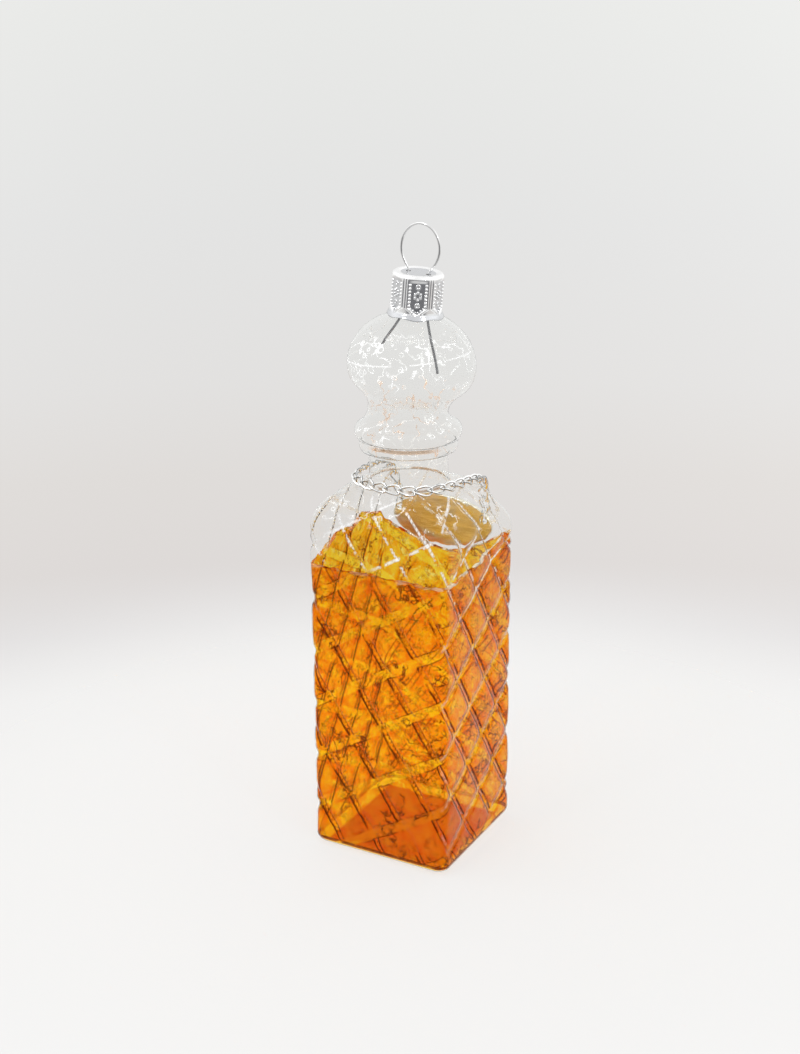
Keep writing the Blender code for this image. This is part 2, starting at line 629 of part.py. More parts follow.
# Chain
def chain_route():
    """Points of the chain's middle line, each with the direction that its links face, from ring to ring."""
    grip = Vector((0, 0, JUMP_RING_RADIUS - JUMP_WIRE_RADIUS - LINK_WIRE_RADIUS))
    route = [(ring_centre(1) + grip, Vector((0, 1, 0)))]
    for bearing_degrees, rise_share, lean_share in zip(CHAIN_BEARINGS, CHAIN_RISE_SHARES, CHAIN_LEAN_SHARES):
        bearing = math.radians(bearing_degrees)
        quarter = rise_share * math.pi / 2
        lean = lean_share * CHAIN_LEAN
        span = square_reach(bearing, HALF_BODY, BODY_CORNER_RADIUS) - NECK_FOOT_RADIUS
        on_back = math.sin(bearing) > math.sqrt(0.5)
        outward = Vector((0, 1, 0)) if on_back else Vector((math.cos(bearing), math.sin(bearing), 0))
        normal = outward * SHOULDER_RISE * math.cos(quarter) + Vector((0, 0, span * math.sin(quarter)))
        normal.normalize()
        lift = CHAIN_STAND_OFF * (2 - lean_share) + LINK_WIRE_RADIUS
        lift += LINK_TWIST * math.cos(lean) + LINK_HALF_WIDTH * math.sin(lean)
        faces = (normal * math.cos(lean) + outward * math.sin(lean)).normalized()
        route.append((settle(shoulder_point(bearing, quarter)) + normal * lift, faces))
    return [*route, (ring_centre(-1) + grip, Vector((0, 1, 0)))]


def smooth_line(knots, softening, samples=800):
    """Dense rows of values along straight runs between the knots, then softened twice by a running mean.
    The knots are spaced by their first three values, and the ends stay where they are."""
    knots = np.array(knots)
    spans = np.linalg.norm(np.diff(knots[:, :3], axis=0), axis=1)
    at = np.concatenate([[0], np.cumsum(spans)])
    even = np.linspace(0, at[-1], samples)
    line = np.column_stack([np.interp(even, at, column) for column in knots.T])
    reach = round(softening / at[-1] * samples / 2)
    for _ in range(2):
        before = 2 * line[0] - line[reach:0:-1]
        after = 2 * line[-1] - line[-2:-reach - 2:-1]
        sums = np.cumsum(np.vstack([np.zeros_like(line[:1]), before, line, after]), axis=0)
        line = (sums[2 * reach + 1:] - sums[:-2 * reach - 1]) / (2 * reach + 1)
    return line


def curb_link(half_length):
    """Middle line of a link along X: an oval, twisted so that its ends cross over and under its neighbours."""
    turns = np.linspace(0, 2 * math.pi, 12, endpoint=False)
    return [Vector((half_length * math.cos(turn), LINK_HALF_WIDTH * math.sin(turn), LINK_TWIST * math.sin(2 * turn)))
            for turn in turns]


def make_chain(metal):
    line = smooth_line([(*place, *faces) for place, faces in chain_route()], CHAIN_SOFTENING)
    at = np.concatenate([[0], np.cumsum(np.linalg.norm(np.diff(line[:, :3], axis=0), axis=1))])
    pitch = at[-1] / LINK_COUNT
    mesh = tube_ring("chain_link", curb_link(pitch / 2 + LINK_WIRE_RADIUS + LINK_SLACK), LINK_WIRE_RADIUS, 5)
    print(f"Chain: {LINK_COUNT} links in {at[-1] * 1000:.1f} mm, {pitch * 1000:.2f} mm from one to the next")
    for number in range(LINK_COUNT):
        spots = np.array([number, number + 0.5, number + 1]) * pitch
        start, centre, end = (Vector([np.interp(spot, at, line[:, axis]) for axis in range(3)]) for spot in spots)
        normal = Vector([np.interp(spots[1], at, line[:, axis]) for axis in range(3, 6)])
        along = (end - start).normalized()
        across = normal.cross(along).normalized()
        turn = Matrix((along, across, along.cross(across))).transposed()
        link = add_object(f"chain_link_{number + 1:02d}", mesh, metal if not mesh.materials else None)
        link.matrix_world = Matrix.Translation(centre) @ turn.to_4x4()


def main():
    clear_scene()
    glass = make_material("clear_glass", (0.95, 0.96, 0.95), 0.02, 0.0, 1.0)
    lacquer = make_material("amber_lacquer", (0.92, 0.46, 0.05), 0.08, 0.0, 0.9)
    silver = make_material("silver_plate", (0.82, 0.82, 0.82), 0.18, 1.0)
    pressed_metal = make_material("pressed_silver", (0.86, 0.86, 0.85), 0.25, 1.0)
    label_metal = make_material("label_metal", (0.80, 0.77, 0.68), 0.25, 1.0)
    make_vessel(glass)
    make_lining(lacquer)
    stopper_frame = add_frame("stopper_frame", None, WAIST_HEIGHT)
    make_cap(pressed_metal, stopper_frame)
    make_hanger(silver, add_frame("hanger_frame", stopper_frame, DISH_HEIGHT))
    make_label(label_metal)
    make_jump_rings(silver)
    make_chain(silver)


main()
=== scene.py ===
import math

import bmesh
import bpy
import numpy as np
from mathutils import Matrix, Vector


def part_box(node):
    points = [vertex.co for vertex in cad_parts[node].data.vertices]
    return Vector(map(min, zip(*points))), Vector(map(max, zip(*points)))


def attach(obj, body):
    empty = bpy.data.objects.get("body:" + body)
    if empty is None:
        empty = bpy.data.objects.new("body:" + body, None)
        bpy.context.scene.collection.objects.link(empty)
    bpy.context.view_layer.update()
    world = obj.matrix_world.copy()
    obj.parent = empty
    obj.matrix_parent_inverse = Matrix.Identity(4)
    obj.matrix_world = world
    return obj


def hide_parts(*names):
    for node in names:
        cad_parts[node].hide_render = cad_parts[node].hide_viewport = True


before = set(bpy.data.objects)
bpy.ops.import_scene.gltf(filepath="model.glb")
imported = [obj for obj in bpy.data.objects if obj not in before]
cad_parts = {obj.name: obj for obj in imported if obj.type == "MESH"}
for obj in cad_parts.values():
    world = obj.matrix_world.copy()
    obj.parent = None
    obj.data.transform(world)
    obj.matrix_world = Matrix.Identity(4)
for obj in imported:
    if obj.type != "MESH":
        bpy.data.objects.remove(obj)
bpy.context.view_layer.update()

# A blown-glass decanter ornament with an amber lining, a pressed cap, a chain and an oval label.
# Metres, +Z up, in the frame of the CAD model. The label hangs on the +Y face.

mm = 0.001
print("frame loaded:", len(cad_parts), "nodes")


# Shader tools

class Wire:                                  # an output socket that can be added, multiplied and so on
    def __init__(self, finish, socket):
        self.finish = finish
        self.socket = socket

    def math(self, operation, *others):
        return self.finish.add("ShaderNodeMath", {"operation": operation}, (self, *others))

    def __add__(self, other):
        return self.math("ADD", other)

    def __sub__(self, other):
        return self.math("SUBTRACT", other)

    def __rsub__(self, other):
        return self.finish.add("ShaderNodeMath", {"operation": "SUBTRACT"}, (other, self))

    def __mul__(self, other):
        return self.math("MULTIPLY", other)

    __radd__ = __add__
    __rmul__ = __mul__

    def between(self, low, high):            # 0 below low, 1 above high, or the other way round
        values = {"Value": self, "From Min": low, "From Max": high}
        return self.finish.add("ShaderNodeMapRange", {"interpolation_type": "SMOOTHSTEP"}, values)

    def near(self, middle, reach):           # 1 at the middle, 0 from the reach onwards
        return (self - middle).math("ABSOLUTE").between(reach, 0.4 * reach)


class Finish:                                # one material or world, built node by node
    def __init__(self, name, owner=None):
        self.owner = owner or bpy.data.materials.new(name)
        self.owner.use_nodes = True
        self.nodes = self.owner.node_tree.nodes
        self.links = self.owner.node_tree.links
        self.nodes.clear()

    def feed(self, socket, value):
        if isinstance(value, Wire):
            self.links.new(value.socket, socket)
        elif isinstance(value, tuple) and socket.type == "RGBA":
            socket.default_value = (*value, 1)
        else:
            socket.default_value = value

    def add(self, kind, settings, values, output=0):
        node = self.nodes.new(kind)
        for key, value in settings.items():
            if key == "stops":
                ramp = node.color_ramp
                while len(ramp.elements) < len(value):
                    ramp.elements.new(0.5)
                for element, (place, colour) in zip(ramp.elements, value):
                    element.position = place
                    element.color = (*colour, 1)
            else:
                setattr(node, key, value)
        for key, value in values.items() if isinstance(values, dict) else enumerate(values):
            self.feed(node.inputs[key], value)
        return Wire(self, node.outputs[output])

    def place(self):                         # the piece's own coordinates, in metres
        return self.add("ShaderNodeTexCoord", {}, {}, "Object")

    def parts(self, vector):
        split = self.add("ShaderNodeSeparateXYZ", {}, [vector])
        return [Wire(self, socket) for socket in split.socket.node.outputs]

    def lightPath(self, output):
        return self.add("ShaderNodeLightPath", {}, {}, output)

    def noise(self, place, size, detail=2.0, roughness=0.5, twist=0.0):
        values = {"Vector": place, "Scale": 1 / size, "Detail": detail, "Roughness": roughness,
                  "Distortion": twist}
        return self.add("ShaderNodeTexNoise", {}, values)

    def shade(self, name):                   # a value that the mesh carries for each point
        return self.add("ShaderNodeAttribute", {"attribute_name": name}, {}, "Fac")

    def mixColour(self, share, first, second):
        return self.add("ShaderNodeMix", {"data_type": "RGBA"}, {0: share, 6: first, 7: second}, 2)

    def bump(self, height, depth):
        return self.add("ShaderNodeBump", {}, {"Height": height, "Strength": 1.0, "Distance": depth})

    def mixShader(self, share, first, second):
        return self.add("ShaderNodeMixShader", {}, [share, first, second])

    def emission(self, colour, strength):
        return self.add("ShaderNodeEmission", {}, [colour, strength])

    def transparent(self, colour):           # lets this share of the light through
        return self.add("ShaderNodeBsdfTransparent", {}, [colour])

    def principled(self, **values):
        values = {key.replace("_", " "): value for key, value in values.items()}
        return self.add("ShaderNodeBsdfPrincipled", {}, values)

    def done(self, surface):
        inWorld = isinstance(self.owner, bpy.types.World)
        output = self.nodes.new("ShaderNodeOutputWorld" if inWorld else "ShaderNodeOutputMaterial")
        self.feed(output.inputs["Surface"], surface)
        return self.owner


# Mesh tools

def addObject(name, data):
    thing = bpy.data.objects.new(name, data)
    bpy.context.scene.collection.objects.link(thing)
    return thing


def addPiece(name, mesh, finish, slot, body, *nodes, place=Matrix()):
    piece = addObject(name, mesh)
    piece.matrix_world = place
    if finish.name not in mesh.materials:
        mesh.materials.append(finish)
    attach(piece, body)
    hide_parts(*nodes)
    return piece


def finalMesh(thing):                        # its modifiers or its curve worked out
    evaluated = thing.evaluated_get(bpy.context.evaluated_depsgraph_get())
    return bpy.data.meshes.new_from_object(evaluated)


def drillHole(piece, place, radius, depth):  # a round hole along the Z axis of this place
    mesh = bpy.data.meshes.new("drill")
    shape = bmesh.new()
    bmesh.ops.create_cone(shape, cap_ends=True, segments=40, radius1=radius, radius2=radius, depth=depth,
                          matrix=place)
    shape.to_mesh(mesh)
    shape.free()
    drill = addObject("drill", mesh)
    piece.modifiers.new("hole", "BOOLEAN").object = drill
    drilled = finalMesh(piece)
    piece.modifiers.clear()
    piece.data = drilled
    bpy.data.objects.remove(drill)


def gridMesh(name, rows, looped=False):      # rows: (rows, columns, 3), each row a closed ring
    rowCount, columnCount = rows.shape[:2]
    points = rows.reshape(-1, 3)
    index = np.arange(rowCount * columnCount).reshape(rowCount, columnCount)
    lower, upper = (index, np.roll(index, -1, 0)) if looped else (index[:-1], index[1:])
    quads = np.stack([lower, np.roll(lower, -1, 1), np.roll(upper, -1, 1), upper], -1).reshape(-1, 4)
    faces = quads.tolist()
    if not looped:
        for row, turned in ((0, True), (-1, False)):
            points = np.vstack([points, rows[row].mean(0)])
            for a, b in zip(index[row], np.roll(index[row], -1)):
                faces.append((b, a, len(points) - 1) if turned else (a, b, len(points) - 1))
    mesh = bpy.data.meshes.new(name)
    mesh.from_pydata(points.tolist(), [], faces)
    mesh.shade_smooth()
    return mesh


def addShade(mesh, name, values, middle=0.0):  # a value for each point of a grid mesh, for its shader
    values = np.concatenate([values.ravel(), np.full(len(mesh.vertices) - values.size, middle)])
    mesh.attributes.new(name, "FLOAT", "POINT").data.foreach_set("value", values.astype(np.float32))


def gridNormals(rows):                       # outward where the rows climb and turn anticlockwise
    along = np.roll(rows, -1, 1) - np.roll(rows, 1, 1)
    up = np.gradient(rows, axis=0)
    normals = np.cross(along, up)
    return normals / np.maximum(np.linalg.norm(normals, axis=2, keepdims=True), 1e-12)


def wholeTurn(count):                        # angles spaced evenly round a circle
    return np.linspace(0, 2 * math.pi, count, endpoint=False)


def ease(values, start, end):                # climbs smoothly from 0 at the start to 1 at the end
    share = np.clip((values - start) / (end - start), 0, 1)
    return share * share * (3 - 2 * share)


def ripple(points, size, seed, waves=28):    # smooth irregular waves of about this size, from -1 to 1
    rng = np.random.default_rng(seed)
    directions = rng.normal(size=(waves, 3))
    directions /= np.linalg.norm(directions, axis=1, keepdims=True)
    pitch = 2 * math.pi / (size * rng.uniform(0.7, 1.6, waves))
    phases = rng.uniform(0, 2 * math.pi, waves)
    total = np.zeros(points.shape[:-1])
    for direction, k, phase in zip(directions, pitch, phases):
        total += np.sin(points @ direction * k + phase)
    return total / math.sqrt(waves)


def softProfile(points, spacing, rounds=3):  # a line of (radius, height), its corners cut this many times
    line = np.array(points, float)
    for _ in range(rounds):
        first, second = line[:-1], line[1:]
        cut = np.stack([first * 0.75 + second * 0.25, first * 0.25 + second * 0.75], 1).reshape(-1, 2)
        line = np.vstack([line[:1], cut[1:-1], line[-1:]])
    at = np.concatenate([[0], np.cumsum(np.linalg.norm(np.diff(line, axis=0), axis=1))])
    even = np.linspace(0, at[-1], round(at[-1] / spacing) + 1)
    return np.column_stack([np.interp(even, at, line[:, 0]), np.interp(even, at, line[:, 1])])


# Glass vessel

glass = {
    "halfWidth": 18.65 * mm,
    "cornerRadius": 2.5 * mm,
    "footRadius": 2.5 * mm,
    "wall": 0.15 * mm,
    "base": 0.25 * mm,
    "shoulderStart": 83 * mm,
    "shoulderRise": 9.8 * mm,
    "cornerSag": 3.5 * mm,                   # how far the shoulder has sunk at the corner between +X and +Y
    "sagDepth": 12 * mm,
    "sagSpan": (0.8, 1.3),                   # from where to where it grows, in half widths from the axis
    "neckShift": -0.9 * mm,
    "neckFoot": 10.5 * mm,
    "neck": (                                # radius and height in mm, with lip and flange, up to the waist
        (10.5, 92.8), (9.7, 92.9), (9.5, 93.8), (9.5, 97), (9.5, 100.2), (9.8, 100.9), (11.1, 101.2),
        (11.75, 101.6), (11.75, 102.4), (11.7, 103.2), (11.1, 103.5), (11.1, 104), (12.2, 104.1),
        (12.8, 105), (12.8, 106.6), (12.2, 107.4), (11.6, 107.6), (10.4, 108.5), (9.7, 110), (9.55, 111.6),
    ),
    "collar": (                              # the same, from the waist to the ball
        (9.55, 111.6), (9.9, 113), (10.7, 114.3), (12.1, 115.6), (13.5, 116.8), (14.5, 118.2),
        (15.05, 119.9),
    ),
    "flangeTop": 107.4 * mm,
    "waistHeight": 111.6 * mm,
    "ballCentre": 121.592 * mm,
    "ballRadius": 15.2 * mm,
    "ballHalfHeight": 12.8 * mm,
    "pikeRadius": 5.15 * mm,
    "pikeTop": 142.631 * mm,
    "pikeRim": (                             # how far in and down each row of its rounded rim lies, in mm
        (0, 0.7), (0, 0.35), (0, 0.2), (0.02, 0.1), (0.06, 0.03), (0.13, 0),
    ),
    "lean": math.radians(5),
    "waves": ((0.05 * mm, 11 * mm, 1), (0.02 * mm, 3 * mm, 2)),  # depth, size and seed of the uneven skin
    "deepestWave": 0.3 * mm,
    "columns": 264,
    "rowSpacing": 0.85 * mm,
    "neckSpacing": 0.8 * mm,
    "ballSpacing": 1.4 * mm,
    "glintBands": (                            # from and to which heights the inside carries painted highlights, and how much
        (112 * mm, 131 * mm, 1.0), (99 * mm, 114 * mm, 0.7), (86 * mm, 100 * mm, 0.45),
    ),
    "glintFade": 3 * mm,
    "clear": (0.99, 0.995, 0.99),
    "refraction": 1.12,                      # low, because so thin a wall hardly bends the view
    "reliefSize": 7 * mm,
    "reliefDepth": 0.02 * mm,
    "squiggleSize": 4.5 * mm,
    "bubbleGlintSize": 2.4 * mm,
    "glintLineHeight": 124.2 * mm,                # a fine painted highlight line round the ball, square to its leaning axis
    "glintLineSlope": 0.087,
    "glintLineReach": 0.2 * mm,
    "creaseReach": 0.52 * mm,                # half the width of a groove that catches the light
    "lowCreases": 0.28,                      # the share of that light left on the amber part of the +X face
    # the matt white that the painted highlights are drawn in
    "white": (0.97, 0.97, 0.97),
    "whiteRoughness": 0.3,
    "echo": (0.72, 0.45, 0.28),              # the painted highlights' tint where the amber shows in them again higher up
    "echoes": ((112.5 * mm, 4 * mm), (102.4 * mm, 2.2 * mm)),  # height and reach of both places
    # painted refraction of the amber: brown marks round the lip and the neck's foot
    "amberRefraction": (0.50, 0.33, 0.20),
    "lipRefraction": (103.4 * mm, 0.6 * mm),      # height and reach
    "neckRefraction": (93.3 * mm, 0.45 * mm),
    "shadow": (0.95, 0.96, 0.95),            # the light that goes on through it to the floor
}
lattice = {
    "pillow": 0.35 * mm,                     # how far the diamonds fall away to their edges
    "foot": 3.5 * mm,
    "top": 91.5 * mm,
    "fade": 3 * mm,
    "far": 5 * mm,                           # stands for no groove near
    "rising": {"starts": 6, "spacing": 13.9 * mm, "phase": 0.525, "way": 1, "depth": 0.5 * mm,
               "reach": 1.0 * mm},
    "falling": {"starts": 13, "spacing": 16.9 * mm, "phase": 0.24, "way": -1, "depth": 0.75 * mm,
                "reach": 0.65 * mm},
}
straight = 2 * (glass["halfWidth"] - glass["cornerRadius"])
side = straight + glass["cornerRadius"] * math.pi / 2
girth = 4 * side
around = np.arange(glass["columns"]) * girth / glass["columns"]


def squareRow(halfWidth, cornerRadius):      # a rounded square, one point for each column
    face, along = np.divmod(around + straight / 2, side)
    bend = np.maximum(along - straight, 0) / glass["cornerRadius"]
    centre = halfWidth - cornerRadius
    x = centre + cornerRadius * np.cos(bend)
    y = (np.minimum(along / straight, 1) - 0.5) * 2 * centre + cornerRadius * np.sin(bend)
    turn = face * math.pi / 2
    return np.stack([x * np.cos(turn) - y * np.sin(turn), x * np.sin(turn) + y * np.cos(turn)], -1)


def settle(points):                          # the sunk corner, the neck's shift and the stopper's lean
    g = glass
    x, y, z = np.moveaxis(points, -1, 0)
    sagStart, sagEnd = (share * g["halfWidth"] for share in g["sagSpan"])
    sag = g["cornerSag"] * ease(z, g["shoulderStart"] - g["sagDepth"], g["shoulderStart"])
    sag = sag * ease((x + y) / math.sqrt(2), sagStart, sagEnd)
    turn = g["lean"] * ease(z, g["flangeTop"], g["waistHeight"])
    shoulderEnd = g["shoulderStart"] + g["shoulderRise"]
    shift = g["neckShift"] * ease(z, g["shoulderStart"], shoulderEnd)
    height = z - sag - g["waistHeight"]
    leanX = x * np.cos(turn) + height * np.sin(turn) + shift
    leanZ = height * np.cos(turn) - x * np.sin(turn) + g["waistHeight"]
    return np.stack([leanX, y, leanZ], -1)


def bodyRows():
    # Rows from the base's edge up the wall and over the shoulder, and how far up the lattice each lies
    g = glass
    spacing = g["rowSpacing"]
    rows, ups = [], []
    for turn in np.linspace(0, math.pi / 2, 7):
        drawn = g["footRadius"] * (1 - math.sin(turn))
        height = g["footRadius"] * (1 - math.cos(turn))
        rows.append((squareRow(g["halfWidth"] - drawn, g["cornerRadius"] + 0.5 * drawn), height))
        ups.append(height)
    wallRow = squareRow(g["halfWidth"], g["cornerRadius"])
    for height in np.arange(g["footRadius"] + spacing, g["shoulderStart"] - spacing / 2, spacing):
        rows.append((wallRow, height))
        ups.append(height)
    reach = np.linalg.norm(wallRow, axis=1, keepdims=True)
    overShoulder = math.hypot(g["halfWidth"] - g["neckFoot"], g["shoulderRise"]) / math.sqrt(2)
    for quarter in np.linspace(0, math.pi / 2, round(overShoulder * math.pi / 2 / spacing) + 1):
        drawn = g["neckFoot"] + (reach - g["neckFoot"]) * math.cos(quarter)
        rows.append((wallRow / reach * drawn, g["shoulderStart"] + g["shoulderRise"] * math.sin(quarter)))
        ups.append(g["shoulderStart"] + quarter * overShoulder)
    return [np.column_stack([row, np.full(len(row), height)]) for row, height in rows], ups


def roundRows(profile):
    bearings = np.arctan2(*squareRow(glass["halfWidth"], glass["cornerRadius"]).T[::-1])
    circle = np.stack([np.cos(bearings), np.sin(bearings)], -1)
    return [np.column_stack([circle * radius, np.full(len(circle), height)]) for radius, height in profile]


def outerProfile():                          # neck, lip, flange, collar, ball and pike
    g = glass
    neck, collar = np.array(g["neck"]) * mm, np.array(g["collar"]) * mm
    ballEnd = math.acos((g["pikeRadius"] + 0.6 * mm) / g["ballRadius"])
    ball = [(g["ballRadius"] * math.cos(turn), g["ballCentre"] + g["ballHalfHeight"] * math.sin(turn))
            for turn in np.linspace(0, ballEnd, 16)]
    ballTop = ball[-1][1]
    pikeHeights = (ballTop + 0.7 * mm, ballTop + 2 * mm, g["pikeTop"] - 1.2 * mm)
    pike = [(g["pikeRadius"], height) for height in pikeHeights]
    rim = [(g["pikeRadius"] - inward * mm, g["pikeTop"] - down * mm) for inward, down in g["pikeRim"]]
    upper = softProfile([*collar, *ball, *pike], g["ballSpacing"])
    return np.vstack([softProfile(neck, g["neckSpacing"]), upper[1:], rim])


def grooveDistances(ups):                    # from each point to the nearest groove of each family
    up = np.array(ups)[:, None]
    across = {}
    for name in ("rising", "falling"):
        family = lattice[name]
        slope = family["way"] * family["starts"] * family["spacing"] / girth
        turn = (up - slope * (around + girth / 4)) / family["spacing"] - family["phase"]
        across[name] = np.abs(turn - np.round(turn)) * family["spacing"] / math.hypot(1, slope)
    return across


def latticeDepth(ups, across):               # how far in the glass lies, for each row and column
    cut, crown = 0.0, 0.0
    for name, distance in across.items():
        family = lattice[name]
        cut = np.maximum(cut, family["depth"] * np.exp(-(distance / family["reach"]) ** 2))
        crown = crown + (1 - distance / distance.max()) ** 2
    up = np.array(ups)[:, None]
    there = ease(up, lattice["foot"], lattice["foot"] + lattice["fade"])
    there = there * (1 - ease(up, lattice["top"] - lattice["fade"], lattice["top"]))
    return there * (cut + lattice["pillow"] * crown / 2)


def blownSkin():                             # the outer surface, and how far its rows are from the grooves
    rows, ups = bodyRows()
    skin = np.vstack([np.array(rows), np.array(roundRows(outerProfile())[1:])])
    depth = sum(reach * (1 + ripple(skin, size, seed)) for reach, size, seed in glass["waves"])
    depth = np.clip(depth, 0, glass["deepestWave"]) * ease(skin[:, :, 2], 1 * mm, 6 * mm)
    across = grooveDistances(ups)
    depth[:len(rows)] += latticeDepth(ups, across)
    skin = settle(skin)
    return skin - gridNormals(skin) * depth[:, :, None], across


def sunk(skin, inset):                       # the same surface further in, with its base flat
    inner = skin - gridNormals(skin) * inset
    inner[:, :, 2] = np.maximum(inner[:, :, 2], inset + (glass["base"] - glass["wall"]))
    return inner


def makeGlass(skin, across):
    inner = sunk(skin, glass["wall"])[::-1]
    rows = np.vstack([skin, inner])
    # where the inside carries painted highlights
    crinkle = np.zeros(rows.shape[:2])
    heights = inner[:, :, 2]
    fade = glass["glintFade"]
    for low, high, share in glass["glintBands"]:
        there = ease(heights, low, low + fade) * (1 - ease(heights, high - fade, high))
        crinkle[len(skin):] = np.maximum(crinkle[len(skin):], share * there)
    mesh = gridMesh("blownGlass", rows)
    addShade(mesh, "crinkle", crinkle)
    for name, distance in across.items():
        values = np.full(rows.shape[:2], lattice["far"])
        values[:len(distance)] = distance
        addShade(mesh, name, values, lattice["far"])
    addPiece("blownGlass", mesh, glassFinish(), "clear_glass", "root", "glass_vessel")
    print("glass:", rows.shape[0] * rows.shape[1], "points")


def glassFinish():
    f, g = Finish("clear blown glass"), glass
    place = f.place()
    x, y, height = f.parts(place)
    crinkle = f.shade("crinkle")
    relief = f.bump(f.noise(place, g["reliefSize"]), g["reliefDepth"])
    clear = f.principled(Base_Color=g["clear"], Roughness=0.0, IOR=g["refraction"],
                         Transmission_Weight=1.0, Normal=relief)
    # painted highlights: white squiggles, a line round the ball and rings, where rippled glass would mirror
    # the lamps
    glintSquiggles = f.noise(place, g["squiggleSize"], 2.5).near(0.5, 0.021)
    glintSquiggles = glintSquiggles * f.noise(place, 6 * mm, 1.0).between(0.47, 0.53)
    glintLine = (height - g["glintLineSlope"] * x).near(g["glintLineHeight"], g["glintLineReach"])
    glintLine = glintLine * f.noise(place, 8 * mm, 1.0).between(0.40, 0.46)
    cells = {"Vector": place, "Scale": 1 / g["bubbleGlintSize"]}
    bubbleGlints = f.add("ShaderNodeTexVoronoi", {}, cells, "Distance")
    bubbleGlints = bubbleGlints.near(0.20, 0.07) * f.noise(place, 7 * mm, 1.0).between(0.50, 0.56)
    reach, low = g["creaseReach"], g["lowCreases"]
    # painted highlights along the grooves, on the lit side
    creaseHighlights = f.shade("falling").near(0, reach) + 0.9 * f.shade("rising").near(0, reach)
    litSide = x.between(16.5 * mm, 17.5 * mm) * (low + (1 - low) * height.between(62 * mm, 74 * mm))
    litSide = litSide.math("MAXIMUM", height.between(75 * mm, 78 * mm)) * height.between(4 * mm, 8 * mm)
    creaseHighlights = creaseHighlights * litSide * f.noise(place, 3 * mm, 3.0).between(0.43, 0.52)
    waistEcho, lipEcho = (height.near(*spot) for spot in g["echoes"])
    echo = waistEcho + lipEcho
    # painted refraction of the amber: brown marks round the lip on the -Y side, and round the neck's foot
    amberRefraction = height.near(*g["lipRefraction"]) * (y - 0.4 * x).between(-7 * mm, -11 * mm)
    amberRefraction = amberRefraction + height.near(*g["neckRefraction"]) * f.noise(place, 5 * mm).between(0.42, 0.52)
    tint = f.mixColour(echo * f.noise(place, 5 * mm).between(0.3, 0.5), g["white"], g["echo"])
    tint = f.mixColour(amberRefraction, tint, g["amberRefraction"])
    white = f.principled(Base_Color=tint, Roughness=g["whiteRoughness"])
    # all the painted highlights and the painted amber, mixed into the clear glass as a matt surface
    paintedLight = crinkle * (glintSquiggles + 0.8 * glintLine + 0.9 * bubbleGlints) + 0.9 * creaseHighlights + 0.6 * amberRefraction
    surface = f.mixShader(0.9 * paintedLight, clear, white)
    shadow = f.transparent(g["shadow"])
    return f.done(f.mixShader(f.lightPath("Is Shadow Ray"), surface, shadow))


# Amber lining

lining = {
    "gap": 0.02 * mm,
    "thickness": 0.12 * mm,
    "brim": (                                # sides passed anticlockwise from +X, and height in mm
        (0, 75.8), (0.35, 79), (0.5, 78.3), (0.68, 74), (0.9, 70), (1.1, 70), (1.3, 72.4), (1.5, 75.3),
        (1.54, 77.4), (1.62, 78.3), (1.7, 79.2), (1.8, 79.9), (1.88, 79.5), (1.92, 78.1), (1.97, 78),
        (2.03, 78.8), (2.12, 78.9), (2.34, 76), (2.5, 74.7), (3, 74.9), (3.6, 74.8),
    ),
    "brimWaves": ((0.15 * mm, 9 * mm, 11), (0.2 * mm, 3 * mm, 12)),  # height, size and seed
    "thin": (1.0, 0.94, 0.50),               # each wall of the film lets this share of the light through
    "pale": (1.0, 0.85, 0.20),
    "deep": (0.975, 0.565, 0.015),
    "darkMarksAndShade": (0.45, 0.17, 0.01),            # the dark brown of the lines beside the grooves, the veins and scratches, and the painted shade round the foot
    "farWalls": 0.45,                        # how strongly the lattice marks the walls at -X and +Y
    "line": (0.60 * mm, 0.24 * mm),          # distance from the middle of a falling groove, and reach
    "edge": (1.25 * mm, 0.22 * mm),          # the same for a rising groove
    "footLine": (1.95 * mm, 0.6 * mm),       # height and reach of the painted shade line round the foot, where it turns edge-on
    "bead": 0.45 * mm,                       # how far below the brim its thick rim reaches, which carries a painted highlight
    "beadDeep": (0.75, 0.30, 0.01),
    "beadHighlight": (0.97, 0.90, 0.74),
    "sheen": 0.03,
    "sheenRoughness": 0.35,
}


def makeLining(skin, across):
    skins, shades = [], {"rising": [], "falling": [], "fromBrim": []}
    brimSides, brimHeights = np.array(lining["brim"]).T
    for inset in (lining["gap"], lining["gap"] + lining["thickness"]):
        inner = sunk(skin, glass["wall"] + inset)[:len(across["rising"])]
        heights = inner[:, :, 2]
        brim = np.interp(around / side, brimSides, brimHeights * mm, period=4)
        for reach, size, seed in lining["brimWaves"]:
            brim = brim + reach * ripple(inner, size, seed)
        topRow = np.argmax((heights > brim).all(axis=1))
        inner[:, :, 2] = np.minimum(heights, brim)
        skins.append(inner[:topRow + 1])
        for name, values in {**across, "fromBrim": brim - inner[:, :, 2]}.items():
            shades[name].append(values[:topRow + 1])
    mesh = gridMesh("amberLining", np.vstack([skins[0], skins[1][::-1]]))
    for name, (outer, inner) in shades.items():
        addShade(mesh, name, np.vstack([outer, inner[::-1]]), lattice["far"])
    addPiece("amberLining", mesh, amberFinish(), "amber_lacquer", "root", "amber_lining")
    print("amber lining:", len(mesh.vertices), "points")


